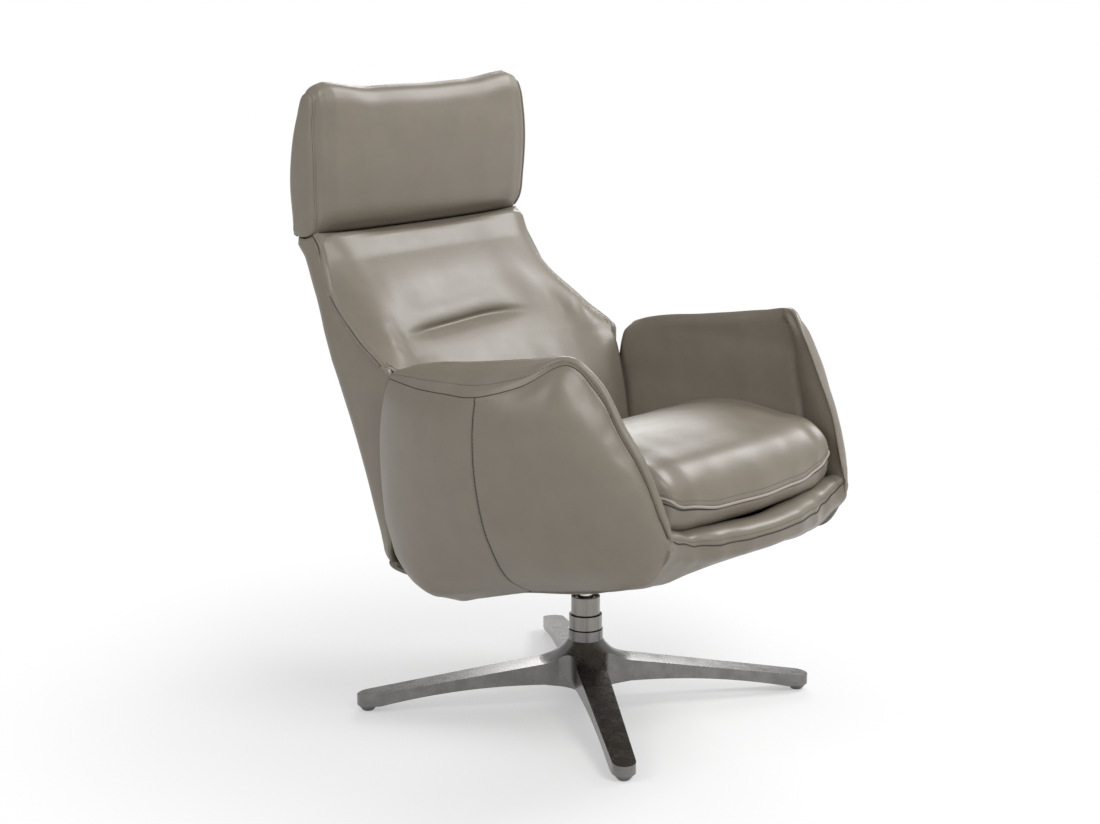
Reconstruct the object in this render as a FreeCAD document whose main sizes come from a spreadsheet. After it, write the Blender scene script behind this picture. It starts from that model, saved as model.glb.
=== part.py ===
import FreeCAD, Part
import math
import os

import Sketcher
from FreeCAD import Placement, Rotation, Vector

# Swivel recliner on a four-spoke base: a leather tub seat, a reclining back and a tilting headrest.
# Millimetres. The origin is on the floor at the swivel axis, +Z is up and the sitter faces -Y.

doc = FreeCAD.newDocument("swivel_recliner")
sheet = doc.addObject("Spreadsheet::Sheet", "sizes")

DRIVING_SIZES = (
    # base casting
    ("leg_heading", 49.35, "turn of the first spoke from +X, degrees"),
    ("foot_circle_radius", 364, "swivel axis to the middle of each foot"),
    ("leg_root_width", 49, "spoke width at the hub"),
    ("leg_tip_width", 37.5, "spoke width at its round tip"),
    ("leg_tip_height", 26, "floor to the top of the spoke tip"),
    ("leg_root_radius", 77, "where the spoke's top meets the hub flare"),
    ("leg_root_height", 72, "floor to the spoke's top at the hub flare"),
    ("leg_root_under", 36, "floor to the spoke's underside at the hub"),
    ("leg_web_round", 25, "inside round between two spokes"),
    ("hub_under_height", 28, "floor to the hub's underside"),
    ("hub_recess_radius", 24, "round pocket under the hub"),
    ("hub_recess_top", 44, "floor to the roof of that pocket"),
    ("collar_radius", 29, "turned collar on top of the hub"),
    ("collar_start", 107, "floor to the start of the collar"),
    ("collar_top", 124, "floor to the top of the collar"),
    # foot glides
    ("glide_height", 10, "floor to the spoke's underside at the foot"),
    ("glide_top_radius", 17.5, "glide under the spoke"),
    ("glide_foot_radius", 9, "glide on the floor"),
    ("glide_stem_radius", 4, "stem pressed up into the spoke"),
    ("glide_stem_length", 8, "length of that stem"),
    # column
    ("fit_gap", 0.05, "clearance of turned fits, per side"),
    ("seat_gap", 0.3, "clearance between seated and covered pieces"),
    ("tube_radius", 20, "outside of the fixed column tube"),
    ("tube_wall", 4.95, "wall of the column tube"),
    ("tube_top", 166, "floor to the top of the column tube"),
    ("seal_height", 2, "dark seal ring"),
    ("seal_radius", 24.5, "lower seal ring"),
    ("trim_radius", 27.5, "trim ring above the collar"),
    ("trim_height", 23, "height of the trim ring"),
    ("sleeve_radius", 24, "bright column sleeve"),
    ("sleeve_height", 29, "height of the column sleeve"),
    ("bush_height", 26, "each plain bearing bush"),
    ("race_height", 2, "thrust bearing race"),
    ("race_radius", 19, "outside of the thrust races"),
    ("race_bore", 13, "bore of the thrust races"),
    ("ball_radius", 2, "thrust bearing balls"),
    ("ball_count", 12, "balls in the cage"),
    ("spindle_radius", 12, "turning spindle"),
    ("shoulder_height", 3, "spindle shoulder on the thrust bearing"),
    ("neck_radius", 13, "spindle above its shoulder"),
    ("cone_start", 186, "floor to the start of the spindle cone"),
    ("cone_radius", 36, "cone under its flange"),
    ("flange_radius", 45, "flange under the mounting plate"),
    ("flange_height", 8, "height of that flange"),
    ("spindle_end", 34, "floor to the lower end of the spindle"),
    ("clip_groove_depth", 1, "groove for the retaining clip"),
    ("clip_height", 1.5, "thickness of the retaining clip"),
    ("clip_radius", 15, "outside of the retaining clip"),
    ("washer_height", 2, "retaining washer"),
    ("cap_height", 3, "plug under the hub"),
    # seat chassis
    ("plate_height", 272, "floor to the mounting plate"),
    ("plate_size", 180, "side of the square mounting plate"),
    ("plate_thickness", 6, "mounting plate"),
    ("plate_bolt_spacing", 130, "between the mounting bolts"),
    ("bolt_radius", 4, "mounting bolts"),
    ("bolt_head_radius", 6.5, "their heads"),
    ("bolt_head_height", 5.5, "height of their heads"),
    ("bar_height", 12, "cross bars"),
    ("bar_width", 24, "cross bars"),
    ("frame_half_width", 216, "swivel axis to a side rail"),
    ("rail_thickness", 4, "side rails"),
    ("rail_front", -300, "front end of the side rails"),
    ("rail_rear", 70, "rear end of the side rails"),
    ("rail_front_depth", 33, "height of the side rails at their front end"),
    ("front_tube_radius", 11, "tube across the front of the frame"),
    ("deck_slope", 8.8, "seat deck's fall to the rear, degrees"),
    ("deck_rear_height", 308, "floor to the deck line at the recline pivot's foot"),
    ("deck_rear_place", 90, "where that height is taken"),
    ("strap_width", 46, "elastic deck straps"),
    ("strap_thickness", 2.5, "elastic deck straps"),
    ("strap_count", 5, "straps across the frame"),
    # recline pivot and gas spring
    ("pivot_place", 120, "swivel axis to the recline pivot, along Y"),
    ("pivot_height", 300, "floor to the recline pivot"),
    ("pivot_pin_radius", 8, "recline pins"),
    ("pivot_eye_radius", 20, "eyes round the recline pins"),
    ("bracket_thickness", 6, "recline brackets and back plates"),
    ("washer_gap", 8, "spacing washer between bracket and back plate"),
    ("torque_tube_radius", 12, "tube across the recline pivot"),
    ("spring_side", 140, "gas spring, off to the sitter's left"),
    ("spring_pin_radius", 4, "pins at both ends of the gas spring"),
    ("spring_eye_width", 12, "eyes at both ends of the gas spring"),
    ("spring_eye_radius", 9.5, "eyes at both ends of the gas spring"),
    ("spring_play", 2.2, "play round the lever pin, where the linkage is opened"),
    ("spring_tube_radius", 9, "gas spring cylinder"),
    ("spring_rod_radius", 4, "gas spring rod"),
    ("spring_anchor_place", -36, "front pin of the gas spring, along Y"),
    ("spring_anchor_height", 274, "floor to that pin"),
    ("spring_tube_length", 88, "front pin to the cylinder's gland"),
    ("lever_back", -10, "recline pivot to the lever pin, along Y"),
    ("lever_drop", 50, "recline pivot down to the lever pin"),
    ("cheek_thickness", 5, "cheeks of the anchor and the lever"),
    # tub
    ("pan_half_width", 232, "underside panel"),
    ("pan_thickness", 11, "underside panel"),
    ("pan_hole_radius", 50, "hole for the spindle cone"),
    ("pan_front_reach", 383, "swivel axis to the front of the apron"),
    ("front_bow", 47, "how far the front edge is bowed in plan"),
    ("back_sweep_radius", 80, "recline pivot to the back's lower end"),
    ("arm_half_width", 366, "swivel axis to the outside of an arm"),
    ("arm_shell_thickness", 12, "outer arm panel"),
    ("arm_rear", 163, "rear face of the arms"),
    ("arm_inner_low", 246, "swivel axis to the arm's inner face, low"),
    ("arm_inner_high", 279, "swivel axis to the arm's inner face, high"),
    ("arm_ridge_place", 285, "swivel axis to the top ridge of the arm"),
    ("arm_peak_height", 648, "floor to the highest point of the arm"),
    ("arm_pad_thickness", 22, "inner arm pad"),
    # cushion
    ("cushion_half_width", 238, "seat cushion"),
    ("cushion_front", -363, "piping at the cushion's front"),
    ("cushion_rear", 86, "rear of the cushion"),
    ("cushion_crown", 510, "floor to the crown of the cushion"),
    # back
    ("back_half_width", 284, "back at the arms"),
    ("back_top_half_width", 245, "back at the headrest"),
    ("back_inner_half_width", 256, "back between the arms"),
    ("back_shell_thickness", 9, "rear shell"),
    ("back_frame_depth", 26, "depth of the back's side plates"),
    ("back_foot_half_width", 205, "back below the arms, beside the brackets"),
    ("back_pad_foot", 352, "floor to the lower edge of the back pad"),
    ("back_tube_radius", 9, "tubes across the back"),
    ("lower_tube_height", 430, "floor to the lower back tube"),
    ("middle_tube_height", 566, "floor to the middle back tube"),
    ("upper_tube_height", 700, "floor to the upper back tube"),
    ("plate_top_height", 742, "floor to the top of the back's side plates"),
    # headrest
    ("tilt_place", 405, "swivel axis to the headrest pivot, along Y"),
    ("tilt_height", 815, "floor to the headrest pivot"),
    ("tilt_radius", 48, "round underside of the headrest"),
    ("headrest_half_width", 245, "headrest"),
    ("headrest_top", 1020, "floor to the top of the headrest"),
    ("headrest_sag", 16, "dip in the middle of its top edge"),
    ("hinge_arm_place", 99, "swivel axis to each headrest arm"),
    ("hinge_arm_thickness", 6, "headrest arms"),
    ("hinge_arm_width", 12, "headrest arms"),
    ("hinge_eye_radius", 10, "eyes of the headrest arms"),
    ("hinge_elbow_drop", 49, "headrest pivot down to the bend of its arms"),
    ("hinge_elbow_lead", 3, "how far that bend lies in front of the pivot"),
    ("hinge_clamp_wall", 1.6, "eye of the headrest arms round the upper back tube"),
    ("ear_clearance", 2, "headrest arm to the ears beside it"),
    ("ear_thickness", 5, "ears of the headrest plate"),
    ("ear_radius", 9, "ears of the headrest plate"),
    ("plate_foot_rise", 14, "headrest pivot up to the plate's lower edge"),
    ("plate_rise", 115, "headrest pivot up to the plate's upper edge"),
    ("hinge_pin_radius", 5, "headrest pins"),
    ("headrest_plate_thickness", 4, "plate inside the headrest"),
    ("headrest_plate_half_width", 150, "plate inside the headrest"),
)

for row, (alias, value, note) in enumerate(DRIVING_SIZES, start=1):
    sheet.set(f"A{row}", alias)
    sheet.set(f"B{row}", str(value))
    sheet.setAlias(f"B{row}", alias)
    sheet.set(f"C{row}", note)
doc.recompute()

FINISHED = []


def size(expression):
    """The value now held by a cell, or by a sum of cells."""
    return float(sheet.evalExpression(expression))


def bound(expression):
    """The same expression as other objects of the document write it."""
    words = []
    word = ""
    for letter in expression + " ":
        if letter.isalnum() or letter == "_":
            word += letter
            continue
        words.append("sizes." + word if word and word[0].isalpha() and word not in FUNCTIONS else word)
        words.append(letter)
        word = ""
    return "".join(words).strip()


FUNCTIONS = ("sin", "cos", "tan", "sqrt", "deg")


def finish(thing, node):
    """Give a finished sub-part the label that names its file."""
    thing.Label = node
    FINISHED.append(thing)
    return thing


def plane_of(body, role):
    for feature in body.Origin.OriginFeatures:
        if feature.Role == role:
            return feature
    raise ValueError(role)


def outline(sketch, corners, arcs=()):
    """Close a sketch through corners, each held by two sizes; arcs are (edge, radius, side)."""
    places = [(size(across), size(up)) for across, up in corners]
    bends = {edge: (radius, side) for edge, radius, side in arcs}
    count = len(places)
    for i in range(count):
        here = Vector(places[i][0], places[i][1], 0)
        there = Vector(places[(i + 1) % count][0], places[(i + 1) % count][1], 0)
        if i in bends:
            sketch.addGeometry(arc_between(here, there, size(bends[i][0]), bends[i][1]))
        else:
            sketch.addGeometry(Part.LineSegment(here, there))
    # an arc drawn clockwise has its ends the other way round in the sketch
    first = [2 if i in bends and bends[i][1] < 0 else 1 for i in range(count)]
    for i in range(count):
        k = (i + 1) % count
        sketch.addConstraint(Sketcher.Constraint("Coincident", i, 3 - first[i], k, first[k]))
    for i, (across, up) in enumerate(corners):
        hold(sketch, "DistanceX", i, first[i], across, places[i][0], -2)
        hold(sketch, "DistanceY", i, first[i], up, places[i][1], -1)
    for edge, (radius, side) in bends.items():
        index = sketch.addConstraint(Sketcher.Constraint("Radius", edge, size(radius)))
        sketch.setExpression(f"Constraints[{index}]", bound(radius))


def hold(sketch, kind, edge, end, expression, value, axis):
    if abs(value) < 1e-9:
        sketch.addConstraint(Sketcher.Constraint("PointOnObject", edge, end, axis))
        return
    index = sketch.addConstraint(Sketcher.Constraint(kind, -1, 1, edge, end, value))
    sketch.setExpression(f"Constraints[{index}]", bound(expression))


def arc_between(here, there, radius, side):
    """The short arc from here to there; side 1 bulges to the right of the way, -1 to the left."""
    half = (there - here) * 0.5
    rise = math.sqrt(max(radius * radius - half.Length * half.Length, 0))
    left = Vector(-half.y, half.x, 0)
    left.normalize()
    centre = here + half + left * (rise * side)
    start = math.atan2(here.y - centre.y, here.x - centre.x)
    stop = math.atan2(there.y - centre.y, there.x - centre.x)
    if side < 0:
        start, stop = stop, start
    while stop < start:
        stop += 2 * math.pi
    return Part.ArcOfCircle(Part.Circle(centre, Vector(0, 0, 1), radius), start, stop)


def turned(node, corners, arcs=()):
    """A body turned about the swivel axis from a profile of (radius, height) corners."""
    body = doc.addObject("PartDesign::Body", node + "_body")
    sketch = body.newObject("Sketcher::SketchObject", node + "_profile")
    sketch.AttachmentSupport = [(plane_of(body, "XZ_Plane"), "")]
    sketch.MapMode = "FlatFace"
    outline(sketch, corners, arcs)
    turn = body.newObject("PartDesign::Revolution", node + "_turned")
    turn.Profile = sketch
    turn.ReferenceAxis = (sketch, ["V_Axis"])
    turn.Angle = 360
    body.Tip = turn
    return body


def side_plate(node, corners, near, thickness, arcs=()):
    """A plate cut to a (Y, Z) outline, from X = near to near + thickness."""
    body = doc.addObject("PartDesign::Body", node + "_body")
    sketch = body.newObject("Sketcher::SketchObject", node + "_outline")
    sketch.AttachmentSupport = [(plane_of(body, "YZ_Plane"), "")]
    sketch.MapMode = "FlatFace"
    sketch.setExpression("AttachmentOffset.Base.z", bound(near))
    outline(sketch, corners, arcs)
    pad = body.newObject("PartDesign::Pad", node + "_pad")
    pad.Profile = sketch
    pad.setExpression("Length", bound(thickness))
    body.Tip = pad
    return body


def cylinder(name, radius, height, place, axis="z", angle=None):
    """A round bar along x, y or z that starts at place, all bound to the sheet."""
    bar = doc.addObject("Part::Cylinder", name)
    bar.setExpression("Radius", bound(radius))
    bar.setExpression("Height", bound(height))
    turn = {"x": Rotation(Vector(0, 1, 0), 90), "y": Rotation(Vector(1, 0, 0), -90), "z": Rotation()}
    bar.Placement = Placement(Vector(), turn[axis])
    at(bar, place)
    return bar


def box(name, length, width, height, place):
    block = doc.addObject("Part::Box", name)
    block.setExpression("Length", bound(length))
    block.setExpression("Width", bound(width))
    block.setExpression("Height", bound(height))
    at(block, place)
    return block


def at(thing, place):
    for letter, expression in zip("xyz", place):
        if expression != "0":
            thing.setExpression(f"Placement.Base.{letter}", bound(expression))


def cut(name, base, tool):
    result = doc.addObject("Part::Cut", name)
    result.Base = base
    result.Tool = tool
    return result


def fuse(name, shapes):
    result = doc.addObject("Part::MultiFuse", name)
    result.Shapes = shapes
    result.Refine = True
    return result


def group(name, shapes):
    result = doc.addObject("Part::Compound", name)
    result.Links = shapes
    return result


def mirrored(thing, name):
    result = doc.addObject("Part::Mirroring", name)
    result.Source = thing
    result.Normal = Vector(1, 0, 0)
    return result


def solid(node, shape):
    """A sub-part whose form is worked out below from the sheet's sizes."""
    feature = doc.addObject("Part::Feature", node + "_form")
    feature.Shape = shape
    return finish(feature, node)


# Geometry of shaped pieces

def smooth(place, knots):
    """A smooth curve through (place, value) knots, without overshoot."""
    knots = sorted(knots)
    if place <= knots[0][0]:
        return knots[0][1]
    if place >= knots[-1][0]:
        return knots[-1][1]
    slopes = [(b[1] - a[1]) / (b[0] - a[0]) for a, b in zip(knots, knots[1:])]
    ends = [slopes[0]]
    for before, after in zip(slopes, slopes[1:]):
        ends.append(0 if before * after <= 0 else 2 * before * after / (before + after))
    ends.append(slopes[-1])
    for i, (a, b) in enumerate(zip(knots, knots[1:])):
        if place <= b[0]:
            run = b[0] - a[0]
            part = (place - a[0]) / run
            rest = 1 - part
            return (
                a[1] * rest * rest * (1 + 2 * part)
                + b[1] * part * part * (3 - 2 * part)
                + ends[i] * run * part * rest * rest
                - ends[i + 1] * run * part * part * rest
            )


def straight(here, middle, there):
    """Whether three points lie on one line, within a hundredth of a millimetre."""
    along = there - here
    return along.cross(middle - here).Length < 0.01 * along.Length


def wire(points, bends):
    """A closed wire; bends gives, for the edge that starts at a corner, its middle point."""
    edges = []
    count = len(points)
    for i in range(count):
        here = points[i]
        there = points[(i + 1) % count]
        middle = bends.get(i)
        if middle is None or straight(here, middle, there):
            edges.append(Part.LineSegment(here, there).toShape())
        else:
            edges.append(Part.Arc(here, middle, there).toShape())
    return Part.Wire(edges)


def section(x, corners, middles):
    """A closed (Y, Z) section at one X."""
    points = [Vector(x, y, z) for y, z in corners]
    bends = {i: Vector(x, y, z) for i, (y, z) in middles.items()}
    return wire(points, bends)


def loft(wires):
    return Part.makeLoft(wires, True, False)


def slab(corners, middles, near, far):
    """A (Y, Z) outline pushed from X = near to X = far."""
    face = Part.Face(section(near, corners, middles))
    return face.extrude(Vector(far - near, 0, 0))


def bar_along_x(radius, near, far, y, z):
    return Part.makeCylinder(radius, far - near, Vector(near, y, z), Vector(1, 0, 0))


def block_between(low, high):
    return Part.makeBox(high[0] - low[0], high[1] - low[1], high[2] - low[2], Vector(*low))


def other_side(shape):
    return shape.mirror(Vector(), Vector(1, 0, 0))


def deck_height(y):
    """Height of the deck line, the underside of the straps."""
    fall = math.tan(math.radians(size("deck_slope")))
    return size("deck_rear_height") + (size("deck_rear_place") - y) * fall


# Base casting

tip_reach = "foot_circle_radius + leg_tip_width / 2"
casting_profile = (
    ("0", "hub_under_height"),
    ("hub_recess_radius + 2", "hub_under_height"),
    ("leg_root_radius", "leg_root_under"),
    ("foot_circle_radius - leg_tip_width / 2", "glide_height"),
    (tip_reach + " + 1", "glide_height"),
    (tip_reach + " + 1", "leg_tip_height"),
    ("leg_root_radius", "leg_root_height"),
    ("collar_radius", "collar_start"),
    ("collar_radius", "collar_top"),
    ("0", "collar_top"),
)
casting_turned = turned("casting", casting_profile, ((2, "1100", -1), (6, "70", -1)))

spokes = []
for number in range(4):
    sketch = doc.addObject("Sketcher::SketchObject", f"spoke_plan_{number}")
    outline(
        sketch,
        (
            ("0", "-leg_root_width / 2"),
            ("leg_root_radius", "-leg_root_width / 2"),
            ("foot_circle_radius", "-leg_tip_width / 2"),
            ("foot_circle_radius", "leg_tip_width / 2"),
            ("leg_root_radius", "leg_root_width / 2"),
            ("0", "leg_root_width / 2"),
        ),
        ((2, "leg_tip_width / 2 + 0.01", 1),),
    )
    spoke = doc.addObject("Part::Extrusion", f"spoke_{number}")
    spoke.Base = sketch
    spoke.DirMode = "Custom"
    spoke.Dir = Vector(0, 0, 1)
    spoke.Solid = True
    spoke.setExpression("LengthFwd", bound("collar_top + 1"))
    spoke.Placement.Rotation = Rotation(Vector(0, 0, 1), 1)
    spoke.setExpression("Placement.Rotation.Angle", bound(f"leg_heading + {90 * number}"))
    spokes.append(spoke)

web_reach = "(leg_root_width / 2 + leg_web_round)"
web = box("web", "2 * " + web_reach, "2 * " + web_reach, "collar_top + 1", ("-" + web_reach,) * 2 + ("0",))
scoops = []
for number, (a, b) in enumerate(((1, 1), (1, -1), (-1, 1), (-1, -1))):
    place = (f"{a} * {web_reach}", f"{b} * {web_reach}", "-1")
    scoops.append(cylinder(f"scoop_{number}", "leg_web_round", "collar_top + 3", place))
web_star = cut("web_star", web, fuse("scoops", scoops))
web_turned = group("web_turned", [web_star])
web_turned.Placement.Rotation = Rotation(Vector(0, 0, 1), 1)
web_turned.setExpression("Placement.Rotation.Angle", bound("leg_heading"))
star_plan = fuse("star_plan", spokes + [web_turned])
casting_solid = doc.addObject("Part::Common", "casting_solid")
casting_solid.Base = star_plan
casting_solid.Tool = casting_turned

bore = cylinder("hub_bore", "tube_radius + fit_gap", "collar_top", ("0", "0", "hub_under_height"))
recess = cylinder("hub_recess", "hub_recess_radius", "hub_recess_top", ("0", "0", "0"))
foot_places = []
for number in range(4):
    turn = f"(leg_heading + {90 * number})"
    foot_places.append((f"foot_circle_radius * cos({turn} * 1deg)", f"foot_circle_radius * sin({turn} * 1deg)"))
stem_holes = []
for number, (x, y) in enumerate(foot_places):
    hole = cylinder(
        f"stem_hole_{number}",
        "glide_stem_radius + fit_gap",
        "glide_stem_length + 1",
        (x, y, "glide_height - 0.5"),
    )
    stem_holes.append(hole)
casting = cut("casting_bored", casting_solid, fuse("casting_holes", [bore, recess] + stem_holes))
finish(casting, "star_base")

glides = []
for number, (x, y) in enumerate(foot_places):
    foot = doc.addObject("Part::Cone", f"glide_foot_{number}")
    foot.setExpression("Radius1", bound("glide_foot_radius"))
    foot.setExpression("Radius2", bound("glide_top_radius"))
    foot.setExpression("Height", bound("glide_height"))
    at(foot, (x, y, "0"))
    stem = cylinder(f"glide_stem_{number}", "glide_stem_radius", "glide_stem_length", (x, y, "glide_height"))
    glides.append(fuse(f"glide_{number}", [foot, stem]))
finish(group("glides", glides), "foot_glides")

# Fixed column

tube_bore = "(tube_radius - tube_wall)"
tube_hole = "(tube_radius + fit_gap)"


def ring(node, inner, outer, bottom, top):
    body = turned(node, ((inner, bottom), (outer, bottom), (outer, top), (inner, top)))
    return finish(body, node)


ring("column_tube", tube_bore, "tube_radius", "hub_recess_top", "tube_top")
seal_one = "(collar_top + seal_height)"
trim_top = "(collar_top + seal_height + trim_height)"
seal_two = "(collar_top + 2 * seal_height + trim_height)"
ring("lower_seal_ring", tube_hole, "seal_radius", "collar_top", seal_one)
ring("trim_ring", tube_hole, "trim_radius", seal_one, trim_top)
ring("upper_seal_ring", tube_hole, "sleeve_radius - 1.5", trim_top, seal_two)
ring("column_sleeve", tube_hole, "sleeve_radius", seal_two, seal_two + " + sleeve_height")
bush_bore = "(spindle_radius + fit_gap)"
bush_outer = f"({tube_bore} - fit_gap)"
ring("lower_bush", bush_bore, bush_outer, "hub_recess_top", "hub_recess_top + bush_height")
ring("upper_bush", bush_bore, bush_outer, "tube_top - bush_height", "tube_top")
ring("lower_race", "race_bore", "race_radius", "tube_top", "tube_top + race_height")
ball_floor = "(tube_top + race_height)"
race_floor = f"({ball_floor} + 2 * ball_radius)"
ring("upper_race", "race_bore", "race_radius", race_floor, race_floor + " + race_height")

ball_circle = "(race_bore + race_radius) / 2"
balls = []
pockets = []
for number in range(int(size("ball_count"))):
    turn = f"(360 * {number} / ball_count * 1deg)"
    centre = (
        f"{ball_circle} * cos({turn})",
        f"{ball_circle} * sin({turn})",
        f"{ball_floor} + ball_radius",
    )
    ball = doc.addObject("Part::Sphere", f"ball_{number}")
    ball.setExpression("Radius", bound("ball_radius - fit_gap"))
    at(ball, centre)
    balls.append(ball)
    pocket_place = (centre[0], centre[1], ball_floor)
    pockets.append(cylinder(f"ball_pocket_{number}", "ball_radius + fit_gap", "2 * ball_radius", pocket_place))
finish(group("balls", balls), "bearing_balls")
cage_blank = turned(
    "cage_blank",
    (
        ("race_bore + 0.3", ball_floor + " + 0.5 * ball_radius"),
        ("race_radius - 0.3", ball_floor + " + 0.5 * ball_radius"),
        ("race_radius - 0.3", ball_floor + " + 1.5 * ball_radius"),
        ("race_bore + 0.3", ball_floor + " + 1.5 * ball_radius"),
    ),
)
finish(cut("cage", cage_blank, fuse("ball_pockets", pockets)), "bearing_cage")
cap_radius = "hub_recess_radius - fit_gap"
finish(
    turned(
        "hub_cap",
        (
            ("0", "hub_under_height"),
            (cap_radius, "hub_under_height"),
            (cap_radius, "hub_under_height + cap_height"),
            ("0", "hub_under_height + cap_height"),
        ),
    ),
    "hub_cap",
)

# Turning spindle and mounting plate

washer_under = "(hub_recess_top - fit_gap - washer_height)"
clip_top = f"({washer_under} - fit_gap)"
clip_under = f"({clip_top} - clip_height)"
groove_radius = "(spindle_radius - clip_groove_depth)"
shoulder_under = f"({race_floor} + race_height)"
finish(
    turned(
        "spindle",
        (
            ("0", "spindle_end"),
            ("spindle_radius", "spindle_end"),
            ("spindle_radius", clip_under + " - fit_gap"),
            (groove_radius, clip_under + " - fit_gap"),
            (groove_radius, clip_top + " + fit_gap"),
            ("spindle_radius", clip_top + " + fit_gap"),
            ("spindle_radius", shoulder_under),
            ("race_radius", shoulder_under),
            ("race_radius", shoulder_under + " + shoulder_height"),
            ("neck_radius", shoulder_under + " + shoulder_height"),
            ("neck_radius", "cone_start"),
            ("cone_radius", "plate_height - flange_height"),
            ("flange_radius", "plate_height - flange_height"),
            ("flange_radius", "plate_height"),
            ("0", "plate_height"),
        ),
    ),
    "swivel_spindle",
)
ring("retaining_washer", "spindle_radius + fit_gap", "race_radius", washer_under, washer_under + " + washer_height")
clip_ring = turned(
    "clip_ring",
    (
        (groove_radius + " + fit_gap", clip_under),
        ("clip_radius", clip_under),
        ("clip_radius", clip_top),
        (groove_radius + " + fit_gap", clip_top),
    ),
)
clip_mouth = box("clip_mouth", "clip_radius", "5", "clip_height + 2", ("0", "-2.5", clip_under + " - 1"))
finish(cut("clip", clip_ring, clip_mouth), "retaining_clip")

bolt_reach = "(plate_bolt_spacing / 2)"
plate_body = doc.addObject("PartDesign::Body", "plate_body")
plate_sketch = plate_body.newObject("Sketcher::SketchObject", "plate_outline")
plate_sketch.AttachmentSupport = [(plane_of(plate_body, "XY_Plane"), "")]
plate_sketch.MapMode = "FlatFace"
plate_sketch.setExpression("AttachmentOffset.Base.z", bound("plate_height"))
outline(
    plate_sketch,
    (
        ("-plate_size / 2", "-plate_size / 2"),
        ("plate_size / 2", "-plate_size / 2"),
        ("plate_size / 2", "plate_size / 2"),
        ("-plate_size / 2", "plate_size / 2"),
    ),
)
plate_pad = plate_body.newObject("PartDesign::Pad", "plate_pad")
plate_pad.Profile = plate_sketch
plate_pad.setExpression("Length", bound("plate_thickness"))
doc.recompute()
hole_sketch = plate_body.newObject("Sketcher::SketchObject", "plate_holes")
hole_sketch.AttachmentSupport = [(plane_of(plate_body, "XY_Plane"), "")]
hole_sketch.MapMode = "FlatFace"
hole_sketch.setExpression("AttachmentOffset.Base.z", bound("plate_height + plate_thickness"))
corners_of_plate = ((1, 1), (1, -1), (-1, 1), (-1, -1))
for number, (a, b) in enumerate(corners_of_plate):
    reach = size(bolt_reach)
    hole_sketch.addGeometry(Part.Circle(Vector(a * reach, b * reach, 0), Vector(0, 0, 1), size("bolt_radius")))
    hold(hole_sketch, "DistanceX", number, 3, f"{a} * {bolt_reach}", a * reach, -2)
    hold(hole_sketch, "DistanceY", number, 3, f"{b} * {bolt_reach}", b * reach, -1)
    index = hole_sketch.addConstraint(Sketcher.Constraint("Radius", number, size("bolt_radius + fit_gap")))
    hole_sketch.setExpression(f"Constraints[{index}]", bound("bolt_radius + fit_gap"))
plate_pocket = plate_body.newObject("PartDesign::Pocket", "plate_bolt_holes")
plate_pocket.Profile = hole_sketch
plate_pocket.Type = 1
plate_body.Tip = plate_pocket
finish(plate_body, "mounting_plate")

plate_top = "(plate_height + plate_thickness)"
bolts = []
bolt_holes = []
for number, (a, b) in enumerate(corners_of_plate):
    x = f"{a} * {bolt_reach}"
    y = f"{b} * {bolt_reach}"
    head = doc.addObject("Part::Prism", f"bolt_head_{number}")
    head.Polygon = 6
    head.setExpression("Circumradius", bound("bolt_head_radius"))
    head.setExpression("Height", bound("bolt_head_height"))
    at(head, (x, y, "plate_height - bolt_head_height"))
    shank = cylinder(f"bolt_shank_{number}", "bolt_radius", "plate_thickness + bar_height", (x, y, "plate_height"))
    bolts.append(fuse(f"bolt_{number}", [head, shank]))
    hole_place = (x, y, plate_top + " - 1")
    bolt_holes.append(cylinder(f"bar_hole_{number}", "bolt_radius + fit_gap", "bar_height + 2", hole_place))
finish(group("bolts", bolts), "plate_bolts")

# Seat chassis

rail_outer = "(frame_half_width + rail_thickness)"
for node, middle, holes in (
    ("front_cross_bar", f"(-{bolt_reach})", (bolt_holes[1], bolt_holes[3])),
    ("rear_cross_bar", bolt_reach, (bolt_holes[0], bolt_holes[2])),
):
    blank = box(
        node + "_blank",
        "2 * frame_half_width",
        "bar_width",
        "bar_height",
        ("-frame_half_width", f"{middle} - bar_width / 2", plate_top),
    )
    finish(cut(node + "_bored", blank, fuse(node + "_holes", list(holes))), node)

fall = "tan(deck_slope * 1deg)"
rail_corners = (
    ("rail_front", f"deck_rear_height + (deck_rear_place - rail_front) * {fall} - rail_front_depth"),
    ("-plate_bolt_spacing / 2 - bar_width", "plate_height + 2"),
    ("rail_rear", "plate_height - 4"),
    ("rail_rear", f"deck_rear_height + (deck_rear_place - rail_rear) * {fall}"),
    ("rail_front", f"deck_rear_height + (deck_rear_place - rail_front) * {fall}"),
)
rail = side_plate("side_rail_left", rail_corners, "frame_half_width", "rail_thickness")
finish(rail, "side_rail_left")
finish(mirrored(rail, "side_rail_right_mirror"), "side_rail_right")
tube_height = f"deck_rear_height + (deck_rear_place - rail_front) * {fall} - 2 * front_tube_radius"
front_tube = cylinder(
    "front_tube",
    "front_tube_radius",
    "2 * frame_half_width",
    ("-frame_half_width", "rail_front + front_tube_radius + 3", tube_height),
    axis="x",
)
finish(front_tube, "front_cross_tube")

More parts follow.
